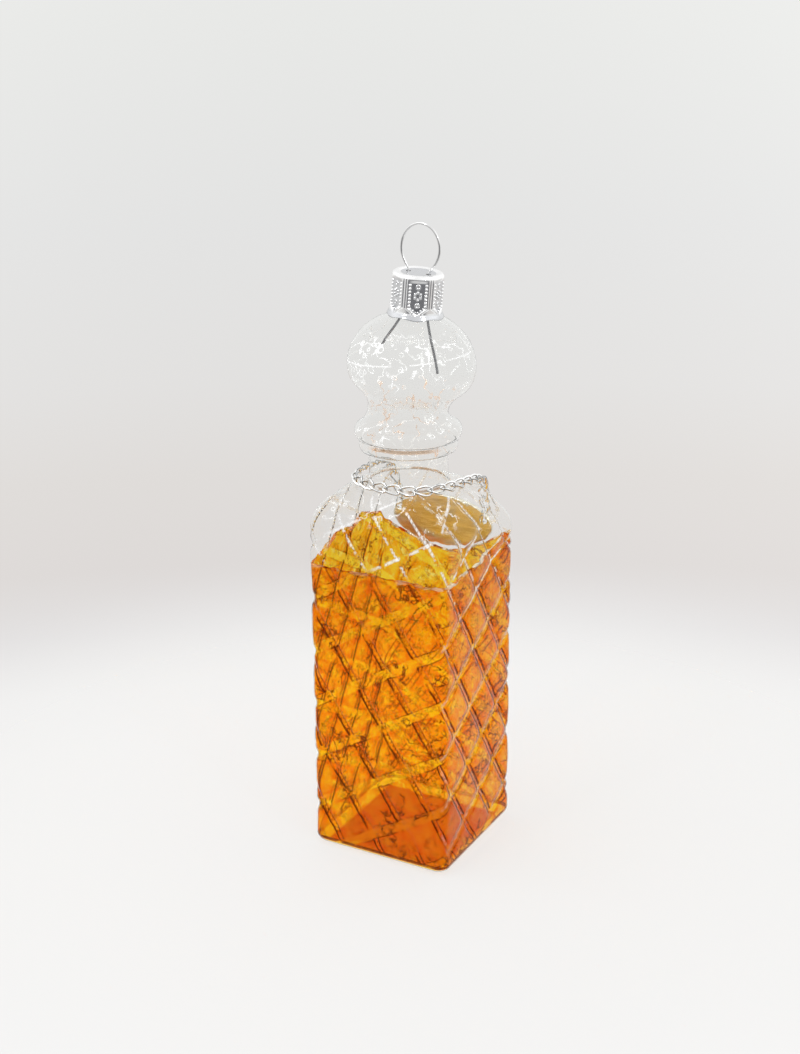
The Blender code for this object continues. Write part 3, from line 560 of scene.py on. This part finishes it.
def amberFinish():
    f, a = Finish("amber lacquer"), lining
    place = f.place()
    x, y, height = f.parts(place)
    wobble = f.noise(place, 3 * mm) - 0.5
    falling = f.shade("falling") + 0.5 * mm * wobble
    rising = f.shade("rising") + 0.7 * mm * wobble
    broken = f.noise(place, 6 * mm, 3.0).between(0.35, 0.52) * height.between(1 * mm, 3 * mm)
    front = a["farWalls"] + (1 - a["farWalls"]) * (x - y).between(-5 * mm, -1 * mm)
    # painted relief: lighter as painted highlights in the rising bands and the middle of the falling
    # grooves, darker as painted shade towards the diamonds' edges
    band = rising.between(1.35 * mm, 0.85 * mm)
    groove = falling.between(0.40 * mm, 0.20 * mm)
    margin = falling.math("MINIMUM", rising).between(3.2 * mm, 0.9 * mm) * (1 - band)
    lines = falling.near(*a["line"]) * (1 - band) * (0.5 + 0.5 * height.between(74 * mm, 66 * mm))
    edges = rising.near(*a["edge"]) * f.noise(place, 7 * mm).between(0.45, 0.58)
    veins = f.noise(place, 5.5 * mm, 4.0, 0.55).near(0.53, 0.022)
    veins = veins * f.noise(place, 8 * mm, 1.0).between(0.54, 0.60)
    scratches = f.noise(place, 2.4 * mm, 5.0, 0.65, 1.0).near(0.55, 0.018)
    scratches = scratches * f.noise(place, 7 * mm, 1.0).between(0.45, 0.53) * height.between(1 * mm, 3 * mm)
    # painted shade: a dark line round the foot
    footLine = height.near(*a["footLine"]) * f.noise(place, 4 * mm).between(0.30, 0.45)
    outward = x.math("ABSOLUTE").math("MAXIMUM", y.math("ABSOLUTE"))
    footGlow = height.between(1.6 * mm, 1.2 * mm) * outward.between(15.2 * mm, 16.2 * mm)
    # the dark brown: lines beside the grooves, veins and scratches, and the painted shade line round the
    # foot
    darkMarksAndShade = broken * (front * (0.95 * lines + 0.5 * edges) + 0.75 * veins)
    darkMarksAndShade = darkMarksAndShade + 0.65 * scratches + 0.8 * front * front * footLine
    clouds = 0.6 * f.noise(place, 4 * mm, 6.0, 0.75, 1.2).between(0.44, 0.57)
    clouds = clouds + 0.4 * f.noise(place, 1.3 * mm, 4.0, 0.7, 1.5).between(0.43, 0.58)
    glints = f.noise(place, 2.6 * mm, 5.0, 0.7, 1.0).between(0.565, 0.60)
    edgeOn = f.add("ShaderNodeLayerWeight", {}, {"Blend": 0.5}, "Facing").between(0.55, 1.0)
    bottom = height.between(2 * mm, 0.8 * mm)
    thin, pale, deep, dark = (f.transparent(a[name]) for name in ("thin", "pale", "deep", "darkMarksAndShade"))
    film = 0.6 * clouds + 0.4 * margin + 0.7 * bottom + 0.5 * edgeOn - 0.55 * front * band - 0.25 * groove
    film = f.mixShader(film, pale, deep)
    film = f.mixShader(0.7 * glints * (1 - bottom) + 0.8 * footGlow, film, thin)
    film = f.mixShader(darkMarksAndShade + (0.25 * edgeOn + 0.15 * bottom) * (1 - footGlow), film, dark)
    # painted highlight on the rim at the brim, stronger towards +X and +Y
    bead = f.shade("fromBrim").near(0, a["bead"]) * f.noise(place, 4 * mm).between(0.40, 0.52)
    bead = bead * (0.4 + 0.6 * (x + y).between(-6 * mm, 6 * mm))
    sheen = f.principled(Base_Color=f.mixColour(bead, a["beadDeep"], a["beadHighlight"]),
                         Roughness=a["sheenRoughness"])
    return f.done(f.mixShader(a["sheen"] + 0.65 * bead, film, sheen))


# Stopper's frame: the cap and hanger lean with the ball

stopper = Matrix.Translation((glass["neckShift"], 0, glass["waistHeight"]))
stopper = stopper @ Matrix.Rotation(glass["lean"], 4, "Y")


def leaned(points):                          # points of the upright shape, leant with the stopper
    points = np.array(points, float)
    points[..., 2] -= glass["waistHeight"]
    turn = np.array(stopper.to_3x3())
    return points @ turn.T + np.array(stopper.translation)


# Crown cap

cap = {
    "foot": 133.381 * mm,
    "top": 143.581 * mm,
    "radius": 6 * mm,
    "edge": 1 * mm,
    "sheet": 0.3 * mm,
    "dishRadius": 4.1 * mm,
    "dishDepth": 0.35 * mm,
    "skirtRadius": 6.7 * mm,
    "skirtHeight": 1.7 * mm,
    "scallop": 0.4 * mm,
    "panels": 6,
    "firstPanel": math.radians(-60),
    "panelDepth": 0.03 * mm,                 # below the flat that cuts the round wall
    "panelHalfWidth": 2.4 * mm,
    "panelTop": 142.3 * mm,
    "panelShoulder": 136.3 * mm,             # where its sides turn in to the point
    "panelTip": 134.7 * mm,
    "borderRise": 0.05 * mm,
    "borderGroove": 0.14 * mm,
    "bead": 0.27 * mm,
    "beadRise": 0.3 * mm,
    "beadSpacing": 0.8 * mm,
    "flower": (139.05 * mm, 0.78 * mm, 0.31 * mm),  # height, radius and bead radius of a ring of six beads
    "rings": (141.15 * mm, 136.85 * mm),     # heights of the small rings
    "ringRadius": 0.42 * mm,
    "ringRise": 0.2 * mm,
    "holeRadius": 0.6 * mm,
    "wireSpacing": 5.2 * mm,
    "bright": (0.98, 0.98, 0.98),
    "shaded": (0.60, 0.61, 0.63),            # in its hollows, dish and skirt
    "hollowShade": 0.75,
    "dishShade": 1.4,
    "skirtShade": 1.15,
    "edgeShade": 1.3,
}


def capBeads():                              # (across, height, radius) of each bead in one panel
    c = cap
    beads = []
    edge = c["panelHalfWidth"] - 0.48 * mm
    for height in np.arange(c["panelTop"] - 0.75 * mm, c["panelShoulder"], -c["beadSpacing"]):
        beads += [(sign * edge, height, c["bead"]) for sign in (-1, 1)]
    for share in (0.15, 0.5, 0.85):
        height = c["panelShoulder"] - share * (c["panelShoulder"] - c["panelTip"] - 0.5 * mm)
        beads += [(sign * edge * (1 - share), height - 0.1 * mm, c["bead"]) for sign in (-1, 1)]
    flowerHeight, flowerRadius, petal = c["flower"]
    for turn in wholeTurn(6) + math.pi / 6:
        beads.append((flowerRadius * math.cos(turn), flowerHeight + flowerRadius * math.sin(turn), petal))
    return beads


def capRelief(bearing, height):              # how far out of the sheet each point stands
    c = cap
    step = 2 * math.pi / c["panels"]
    offset = (bearing - c["firstPanel"] + step / 2) % step - step / 2
    across = offset * c["radius"]
    inSide = c["panelHalfWidth"] - np.abs(across)
    pointHeight = c["panelShoulder"] - c["panelTip"]
    slopeDown = (height - c["panelTip"]) / pointHeight * c["panelHalfWidth"]
    inPoint = (slopeDown - np.abs(across)) * 0.7
    inTop = c["panelTop"] - height
    inside = np.minimum(np.minimum(inSide, inPoint), inTop)
    flat = c["radius"] * (1 - math.cos(c["panelHalfWidth"] / c["radius"]) / np.cos(offset))
    relief = -(np.maximum(flat, 0) + c["panelDepth"]) * ease(inside, -0.02 * mm, 0.2 * mm)
    relief += c["borderRise"] * np.exp(-((inside + 0.12 * mm) / (0.12 * mm)) ** 2)
    relief -= c["borderGroove"] * np.exp(-((inside + 0.42 * mm) / (0.09 * mm)) ** 2)
    for spot, level, radius in capBeads():
        near = np.clip(1 - ((across - spot) ** 2 + (height - level) ** 2) / radius ** 2, 0, 1)
        relief += c["beadRise"] * radius / c["bead"] * np.sqrt(near)
    for level in c["rings"]:
        far = np.hypot(across, height - level)
        relief += c["ringRise"] * np.exp(-((far - c["ringRadius"]) / (0.14 * mm)) ** 2)
    return relief


def makeCap():
    c = cap
    rim = c["top"] - c["edge"]
    skirtTop = c["foot"] + c["skirtHeight"]
    dish = c["top"] - c["dishDepth"]
    inner = c["radius"] - 0.55 * mm
    crown = [
        (0.01 * mm, dish), (c["dishRadius"] * 0.6, dish), (c["dishRadius"], dish),
        (c["dishRadius"] + 0.35 * mm, c["top"] - 0.05 * mm), (4.9 * mm, c["top"]),
        (5.55 * mm, c["top"] - 0.05 * mm), (5.95 * mm, c["top"] - 0.5 * mm), (c["radius"], rim),
    ]
    wall = [(c["radius"], height) for height in (rim - 0.5 * mm, skirtTop + 0.6 * mm, skirtTop)]
    skirt = [
        (6.05 * mm, skirtTop - 0.4 * mm), (6.35 * mm, skirtTop - 0.9 * mm),
        (6.62 * mm, c["foot"] + 0.2 * mm), (c["skirtRadius"], c["foot"]),
    ]
    inside = [
        (c["skirtRadius"] - 0.25 * mm, c["foot"]), (6.1 * mm, skirtTop - 0.9 * mm), (inner, skirtTop),
        (inner, rim - c["sheet"]), (4.6 * mm, dish - c["sheet"]), (0.01 * mm, dish - c["sheet"]),
    ]
    outside = np.vstack([softProfile(crown, 0.25 * mm), softProfile(wall, 0.085 * mm, 1)[1:],
                         softProfile(skirt, 0.2 * mm)[1:]])
    profile = np.vstack([outside, softProfile(inside, 0.5 * mm)])
    bearing = wholeTurn(420)
    radius, height = (np.repeat(column[:, None], len(bearing), 1) for column in profile.T)
    outer = (np.arange(len(profile)) < len(outside))[:, None]
    relief = capRelief(bearing[None, :], height)
    onWall = outer & (radius >= c["radius"] - 0.001 * mm)
    onWall = onWall & (height > skirtTop - 0.3 * mm) & (height < rim + 0.2 * mm)
    relief = np.where(onWall, relief, 0)
    wave = 0.5 - 0.5 * np.cos(c["panels"] * (bearing[None, :] - c["firstPanel"]))
    flare = ease(-height, -skirtTop, -c["foot"])
    places = np.stack([radius * np.cos(bearing), radius * np.sin(bearing), height], -1)
    lift = c["scallop"] * (0.15 + 0.85 * wave) * flare + 0.05 * mm * ripple(places, 5 * mm, 21) * flare
    reach = radius + relief - 0.12 * mm * wave * flare
    rows = np.stack([reach * np.cos(bearing), reach * np.sin(bearing), height + np.maximum(lift, 0)], -1)
    # painted shade: darker in the pressed hollows, the dish, the skirt and its lowest edge
    hollow = c["hollowShade"] * ease(-relief, 0.02 * mm, 0.2 * mm)
    hollow = np.where(outer & (height > rim) & (radius < c["dishRadius"]), c["dishShade"], hollow)
    hollow = np.where(outer & (height < skirtTop), c["skirtShade"] + 0.2 * wave, hollow)
    hollow = np.where(outer & (height > c["foot"] + 0.18 * mm), hollow, c["edgeShade"])
    mesh = gridMesh("pressedCap", leaned(rows)[::-1])
    addShade(mesh, "hollow", hollow[::-1])
    piece = addPiece("pressedCap", mesh, capFinish(), "pressed_silver", "cap", "crown_cap")
    for sign in (-1, 1):                     # the two holes that the wire passes through
        spot = (sign * c["wireSpacing"] / 2, 0, c["top"] - glass["waistHeight"])
        drillHole(piece, stopper @ Matrix.Translation(spot), c["holeRadius"], 3 * mm)
    print("cap:", len(piece.data.vertices), "points")


def capFinish():
    f = Finish("pressed silver")
    place = f.place()
    hollow = f.shade("hollow")
    cloud = f.noise(place, 1.2 * mm, 3.0)
    colour = f.mixColour(0.75 * hollow, cap["bright"], cap["shaded"])
    rough = 0.10 + 0.10 * cloud
    grain = f.bump(f.noise(place, 0.35 * mm), 0.01 * mm)
    return f.done(f.principled(Base_Color=colour, Metallic=1.0, Roughness=rough, Normal=grain))


# Wire hanger

hanger = {
    "hinge": 143.231 * mm,
    "wireRadius": 0.3 * mm,
    "loopWidth": 9.8 * mm,
    "loopTop": 11.23 * mm,
    "foot": -0.6 * mm,
    "bendDepth": 8.5 * mm,
    "bendSpread": 0.4 * mm,
    "legs": {"Left": (-1, 18.5 * mm, 5.5 * mm), "Right": (1, 22.5 * mm, 4.3 * mm)},  # side, reach, spread
    "bright": ((0.80, 0.80, 0.80), 0.05),    # colour and roughness of the loop
    "darkened": ((0.26, 0.26, 0.27), 0.25),      # and of the legs inside the ball, the same wire drawn darker as painted shade
}


def silverFinish(name, colour, roughness, sides=None):
    f = Finish(name)
    place = f.place()
    cloud = f.noise(place, 1.5 * mm, 3.0)
    shade = f.mixColour(cloud.between(0.35, 0.75), colour, tuple(0.86 * part for part in colour))
    if sides:                                # painted shade on the sides of a planed wire
        shade = f.mixColour(f.shade("polished").between(0.35, 0.75), sides, shade)
    roughness = roughness + 0.08 * cloud
    grain = f.bump(f.noise(place, 0.6 * mm, 3.0), 0.01 * mm)
    return f.done(f.principled(Base_Color=shade, Metallic=1.0, Roughness=roughness, Normal=grain))


def makeWire(name, points, handles, finish, node):
    curve = bpy.data.curves.new(name, "CURVE")
    curve.dimensions = "3D"
    curve.bevel_depth = hanger["wireRadius"]
    curve.bevel_resolution = 5
    curve.resolution_u = 24
    curve.use_fill_caps = True
    spline = curve.splines.new("BEZIER")
    spline.bezier_points.add(len(points) - 1)
    rise = hanger["hinge"] - glass["waistHeight"]
    for spot, point, handle in zip(spline.bezier_points, points, handles):
        point, handle = Vector(point) + Vector((0, 0, rise)), Vector(handle)
        spot.handle_left_type = spot.handle_right_type = "FREE"
        spot.co = stopper @ point
        spot.handle_left = stopper @ (point - handle)
        spot.handle_right = stopper @ (point + handle)
    guide = addObject(name, curve)
    mesh = finalMesh(guide)
    bpy.data.objects.remove(guide)
    mesh.shade_smooth()
    addPiece(name, mesh, finish, "silver_wire", "hanger", node)


def makeHanger():
    h = hanger
    gap, width, top, foot = cap["wireSpacing"] / 2, h["loopWidth"] / 2, h["loopTop"], h["foot"]
    middle = top / 2
    rise = (top - middle) * 0.55
    climb = (middle - foot) / 3
    points = [(-gap, 0, foot), (-width, 0, middle), (0, 0, top), (width, 0, middle), (gap, 0, foot)]
    handles = [(0, 0, climb), (0, 0, rise), (width * 0.55, 0, 0), (0, 0, -rise), (0, 0, -climb)]
    bright = silverFinish("silver wire", *h["bright"])
    # the legs in painted shade inside the ball
    darkened = silverFinish("dull wire inside the ball", *h["darkened"])
    makeWire("hangerLoop", points, handles, bright, "hanger_loop")
    for name, (sign, reach, spread) in h["legs"].items():
        bend, bendSpread = h["bendDepth"], h["bendSpread"]
        fall = (reach - bend) / 3
        points = [(sign * gap, 0, foot - 0.3 * mm), (sign * (gap + bendSpread), 0, -bend),
                  (sign * (gap + spread), 0, -reach)]
        handles = [(0, 0, -bend / 3), (sign * bendSpread, 0, -fall), (sign * spread / 4, 0, -fall)]
        makeWire("hangerLeg" + name, points, handles, darkened, "hanger_leg_" + name.lower())
    print("hanger: loop and two legs")


# Chain, jump rings and label

chain = {
    "wireRadius": 0.28 * mm,
    "halfWidth": 1.05 * mm,
    "twist": 0.55 * mm,
    "planed": 0.12,                          # the share of its wire's radius that is planed off
    "silver": (0.98, 0.98, 0.97),
    "roughness": 0.03,
    "sides": (0.36, 0.36, 0.36),             # the silver beside the planed faces, in painted shade
}
ring = {
    "radius": 1.7 * mm,
    "wireRadius": 0.25 * mm,
}
label = {
    "halfLength": 13.94 * mm,
    "halfHeight": 6.64 * mm,
    "thickness": 0.7 * mm,
    "rimWidth": 1.1 * mm,
    "rimRise": 0.25 * mm,
    "holeSpacing": 24.2 * mm,
    "holeRaise": 1.5 * mm,
    "holeRadius": 0.7 * mm,
    "dents": ((0.05 * mm, 2.6 * mm, 31), (0.03 * mm, 1.1 * mm, 32)),  # depth, size and seed
    "silver": (0.86, 0.83, 0.73),
    "tarnish": (0.66, 0.61, 0.48),
    "brushing": 0.16,                        # the strokes' width for a length of 1
    "brushDepth": 0.04 * mm,
}


def tubeMesh(name, centreline, radius, sides, flat=0.0):
    # a closed round wire, with its top and bottom planed by this share as on a diamond-cut chain
    along = np.roll(centreline, -1, 0) - np.roll(centreline, 1, 0)
    along /= np.linalg.norm(along, axis=1, keepdims=True)
    outward = centreline - along * (centreline * along).sum(1, keepdims=True)
    outward /= np.linalg.norm(outward, axis=1, keepdims=True)
    upward = np.cross(along, outward)
    turns = wholeTurn(sides)
    height = np.clip(np.sin(turns), flat - 1, 1 - flat)
    offset = outward[:, None] * np.cos(turns)[:, None] + upward[:, None] * height[:, None]
    mesh = gridMesh(name, centreline[:, None] + radius * offset, looped=True)
    # the faces drawn lit, top and bottom, against the painted shade of the sides
    addShade(mesh, "polished", np.tile(np.abs(np.sin(turns)), (len(centreline), 1)))
    return mesh


def linkMesh(halfLength):
    turns = wholeTurn(44)
    line = np.stack([halfLength * np.cos(turns), chain["halfWidth"] * np.sin(turns),
                     chain["twist"] * np.sin(2 * turns)], -1)
    return tubeMesh("curbLink", line, chain["wireRadius"], 12, chain["planed"])


def makeChain():                             # each link lies as the CAD link does, on its three axes
    finish = silverFinish("silver chain", chain["silver"], chain["roughness"], chain["sides"])
    names = sorted(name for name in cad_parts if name.startswith("chain_link"))
    mesh = None
    for name in names:
        points = np.array([vertex.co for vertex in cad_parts[name].data.vertices])
        points = np.unique(points.round(7), axis=0)
        centre = (points.max(0) + points.min(0)) / 2
        for _ in range(2):
            axes = np.linalg.svd(points - centre, full_matrices=False)[2]
            spans = (points - centre) @ axes.T
            centre = centre + (spans.max(0) + spans.min(0)) / 2 @ axes
        if mesh is None:
            mesh = linkMesh((spans[:, 0].max() - spans[:, 0].min()) / 2 - chain["wireRadius"])
        axes[2] = np.cross(axes[0], axes[1])
        place = Matrix.Translation(centre) @ Matrix(axes.T.tolist()).to_4x4()
        addPiece("curbLink" + name[-2:], mesh, finish, "silver_chain", "root", name, place=place)
    turns = wholeTurn(56)
    circle = np.stack([np.zeros_like(turns), np.cos(turns), np.sin(turns)], -1) * ring["radius"]
    for name in ("left", "right"):
        ringLow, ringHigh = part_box("jump_ring_" + name)
        mesh = tubeMesh("jumpRing", circle, ring["wireRadius"], 12)
        mesh.transform(Matrix.Translation((ringLow + ringHigh) / 2))
        addPiece("jumpRing" + name.capitalize(), mesh, finish, "silver_chain", "root", "jump_ring_" + name)
    print("chain:", len(names), "links and 2 rings")


def makeLabel():                             # an oval plate with a raised rim and a bare, uneven face
    plateLow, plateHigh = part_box("label_plate")
    centre = (plateLow + plateHigh) / 2
    rear = plateLow.y
    front = rear + label["thickness"]
    height, rise, width = label["halfHeight"], label["rimRise"], label["rimWidth"]
    # (inset, depth) of each row, from the middle of the rear round the rim to the middle of the front
    profile = [(share * height, rear) for share in np.linspace(0.97, 0.06, 26)]
    profile += [
        (rise * 0.8, rear), (rise * 0.3, rear + rise * 0.3), (0, rear + rise), (0, front),
        (rise * 0.3, front + rise * 0.7), (rise, front + rise), (width * 0.4, front + rise),
        (width * 0.6, front + rise), (width * 0.8, front + rise * 0.8),
        (width * 0.95, front + rise * 0.15), (width, front),
    ]
    profile += [(share * height, front) for share in np.linspace(0.18, 0.97, 24)]
    inset, depth = np.array(profile).T[:, :, None]
    turns = wholeTurn(160)
    x = centre.x + (label["halfLength"] - inset) * np.cos(turns)
    z = centre.z + (height - inset) * np.sin(turns)
    rows = np.stack([x, np.broadcast_to(depth, x.shape), z], -1)
    dents = sum(reach * ripple(rows, size, seed) for reach, size, seed in label["dents"])
    flat = np.abs(rows[:, :, 1] - front) < 0.01 * mm
    rows[:, :, 1] += np.where(flat, np.clip(dents, -0.1 * mm, 0.05 * mm), 0)
    mesh = gridMesh("ovalLabel", rows)
    piece = addPiece("ovalLabel", mesh, labelFinish(), "label_metal", "label", "label_plate")
    for sign in (-1, 1):                     # the holes for the jump rings
        spot = (centre.x + sign * label["holeSpacing"] / 2, centre.y, centre.z + label["holeRaise"])
        place = Matrix.Translation(spot) @ Matrix.Rotation(math.pi / 2, 4, "X")
        drillHole(piece, place, label["holeRadius"], 4 * mm)
    print("label:", len(piece.data.vertices), "points")


def labelFinish():                           # brushed along its length, tarnished between the strokes
    f = Finish("label metal")
    place = f.place()
    drawn = f.add("ShaderNodeMapping", {}, {"Vector": place, "Scale": (label["brushing"], 1, 1)})
    strokes = f.noise(drawn, 1.0 * mm, 4.0, 0.65)
    tarnish = strokes.between(0.42, 0.60) * (0.6 + 0.6 * f.noise(place, 7 * mm, 1.0).between(0.35, 0.65))
    colour = f.mixColour(tarnish, label["silver"], label["tarnish"])
    rough = 0.22 + 0.15 * strokes
    relief = f.bump(strokes, label["brushDepth"])
    return f.done(f.principled(Base_Color=colour, Metallic=1.0, Roughness=rough, Normal=relief))


# Studio

studio = {
    "backdrop": (                            # height of the line of sight, and the backdrop's colour there
        (-0.60, (0.935, 0.935, 0.935)), (-0.487, (0.905, 0.90, 0.885)), (-0.454, (0.895, 0.888, 0.88)),
        (-0.422, (0.868, 0.862, 0.858)), (-0.389, (0.775, 0.76, 0.758)), (-0.355, (0.735, 0.705, 0.69)),
        (-0.304, (0.745, 0.72, 0.70)), (-0.251, (0.765, 0.755, 0.745)), (-0.158, (0.775, 0.775, 0.77)),
        (-0.044, (0.81, 0.815, 0.80)), (0.05, (0.85, 0.85, 0.84)), (0.40, (0.95, 0.95, 0.95)),
    ),
    "light": 0.80,                           # the plain light from all round
    "mirrored": 0.65,                        # how bright the sides and floor look in metal and glass
    "darkness": (0.20, 0.20, 0.21),          # the unlit room behind the camera, as metal mirrors it
    "floor": (0.915, 0.91, 0.90),
    "paint": (0.92, 0.92, 0.915),            # the floor's own colour, which takes the shadow
    "floorShine": 0.75,                      # the share of the floor's white that no shadow takes away
    "floorReach": 0.075,                     # where the floor starts to fade into the backdrop
    "floorFade": 0.20,
    "rightward": (0.874, 0.486),             # the camera's right, in X and Y
    "frameReach": 4.3,                       # brings the frame's left and right edges to -1 and 1
    "behind": (0.46, 0.84),                  # towards the camera, in X and -Y
    "lamps": {                               # width and height, power, place, and the height it aims at
        "keyLamp": ((0.45, 0.45), 0.9, (-0.25, -0.20, 0.75), 0.08),
        "glintLeft": ((0.07, 0.05), 0.30, (-0.15, -0.50, 0.42), 0.10),
        "glintRight": ((0.04, 0.08), 0.25, (0.45, -0.20, 0.40), 0.10),
    },
    "pitch": math.radians(19.66),
    "azimuth": math.radians(29.07),
    "roll": math.radians(-0.40),
    "sensor": 36,                            # from here on in mm
    "lens": 56.23,
    "target": 81.5,                          # the height that the camera aims at
    "distance": 395.2,
    "sideways": 2.97,
}


def makeWorld():
    world = bpy.data.worlds.new("studio")
    bpy.context.scene.world = world
    f = Finish("studio", world)
    x, y, z = f.parts(f.add("ShaderNodeTexCoord", {}, {}, "Generated"))
    lowest = -studio["backdrop"][0][0]
    stops = [(height + lowest, colour) for height, colour in studio["backdrop"]]
    seen = f.add("ShaderNodeValToRGB", {"stops": stops}, {"Fac": z + lowest})
    rightX, rightY = studio["rightward"]
    aside = (rightX * x + rightY * y) * studio["frameReach"]
    inView = aside.math("MINIMUM", 1).math("MAXIMUM", -1)  # so that the backdrop stays even past the frame
    seen, mirrored = (f.add("ShaderNodeVectorMath", {"operation": "SCALE"}, {
        0: seen, "Scale": 1 + 0.02 * part + 0.035 * part * part * z.between(-0.6, -0.1),
    }) for part in (inView, aside))
    behindX, behindY = studio["behind"]
    behind = behindX * x - behindY * y
    dark = behind.between(0.55, 0.8) * z.between(-0.75, -0.3) * z.between(0.25, -0.05)
    background = f.emission(seen, 1.0)
    dim = z.between(0.5, 0.0) * behind.between(-0.8, -0.4) * (1 - studio["mirrored"])
    mirror = f.mixShader(dark, f.emission(mirrored, 1 - dim), f.emission(studio["darkness"], 1.0))
    lighting = f.emission((1.0, 1.0, 1.0), studio["light"])
    surface = f.mixShader(f.lightPath("Is Glossy Ray"), lighting, mirror)
    surface = f.mixShader(f.lightPath("Is Transmission Ray"), surface, background)
    surface = f.mixShader(f.lightPath("Is Camera Ray"), surface, background)
    f.done(surface)


def makeFloor():
    mesh = bpy.data.meshes.new("floor")
    shape = bmesh.new()
    bmesh.ops.create_circle(shape, cap_ends=True, segments=96, radius=0.5)
    shape.to_mesh(mesh)
    shape.free()
    floor = addObject("floor", mesh)
    floor.location = (0, 0, -0.02 * mm)
    f = Finish("studio floor")
    x, y, _ = f.parts(f.place())
    reach = (x * x + y * y).math("SQRT")
    fade = reach.between(studio["floorReach"], studio["floorFade"])
    paint = f.add("ShaderNodeBsdfDiffuse", {}, [studio["paint"]])
    glossy = f.lightPath("Is Glossy Ray")
    seen = f.lightPath("Is Camera Ray").math("MAXIMUM", glossy)
    mirrored = glossy * (1 - f.lightPath("Is Transmission Ray"))
    white, mirroredWhite = (f.emission(studio["floor"], strength) for strength in (1.0, studio["mirrored"]))
    shine = f.mixShader(mirrored, white, mirroredWhite)
    paint = f.mixShader(studio["floorShine"] * seen, paint, shine)
    mesh.materials.append(f.done(f.mixShader(fade, paint, f.transparent((1.0, 1.0, 1.0)))))


def addLamp(name, size, power, place, aim):
    lamp = bpy.data.lights.new(name, "AREA")
    lamp.shape = "RECTANGLE"
    lamp.size, lamp.size_y = size
    lamp.energy = power
    thing = addObject(name, lamp)
    thing.location = place
    thing.rotation_euler = (Vector((0, 0, aim)) - Vector(place)).to_track_quat("-Z", "Y").to_euler()


def makeCamera():
    data = bpy.data.cameras.new("camera")
    data.sensor_width = studio["sensor"]
    data.lens = studio["lens"]
    camera = addObject("camera", data)
    pitch, azimuth = studio["pitch"], studio["azimuth"]
    level = math.cos(pitch)
    back = Vector((math.sin(azimuth) * level, -math.cos(azimuth) * level, math.sin(pitch)))
    right = Vector((math.cos(azimuth), math.sin(azimuth), 0))
    target = Vector((0, 0, studio["target"] * mm))
    camera.location = target + back * studio["distance"] * mm - right * studio["sideways"] * mm
    turned = Matrix((right, back.cross(right), back)).transposed()
    camera.rotation_euler = (turned @ Matrix.Rotation(studio["roll"], 3, "Z")).to_euler()
    bpy.context.scene.camera = camera


def makeStudio():
    bpy.context.scene.view_settings.view_transform = "Standard"
    makeWorld()
    makeFloor()
    for name, lamp in studio["lamps"].items():
        addLamp(name, *lamp)
    makeCamera()
    print("studio: world, floor, three lamps and the camera")


makeStudio()
skin, across = blownSkin()
makeGlass(skin, across)
makeLining(skin, across)
makeCap()
makeHanger()
makeChain()
makeLabel()
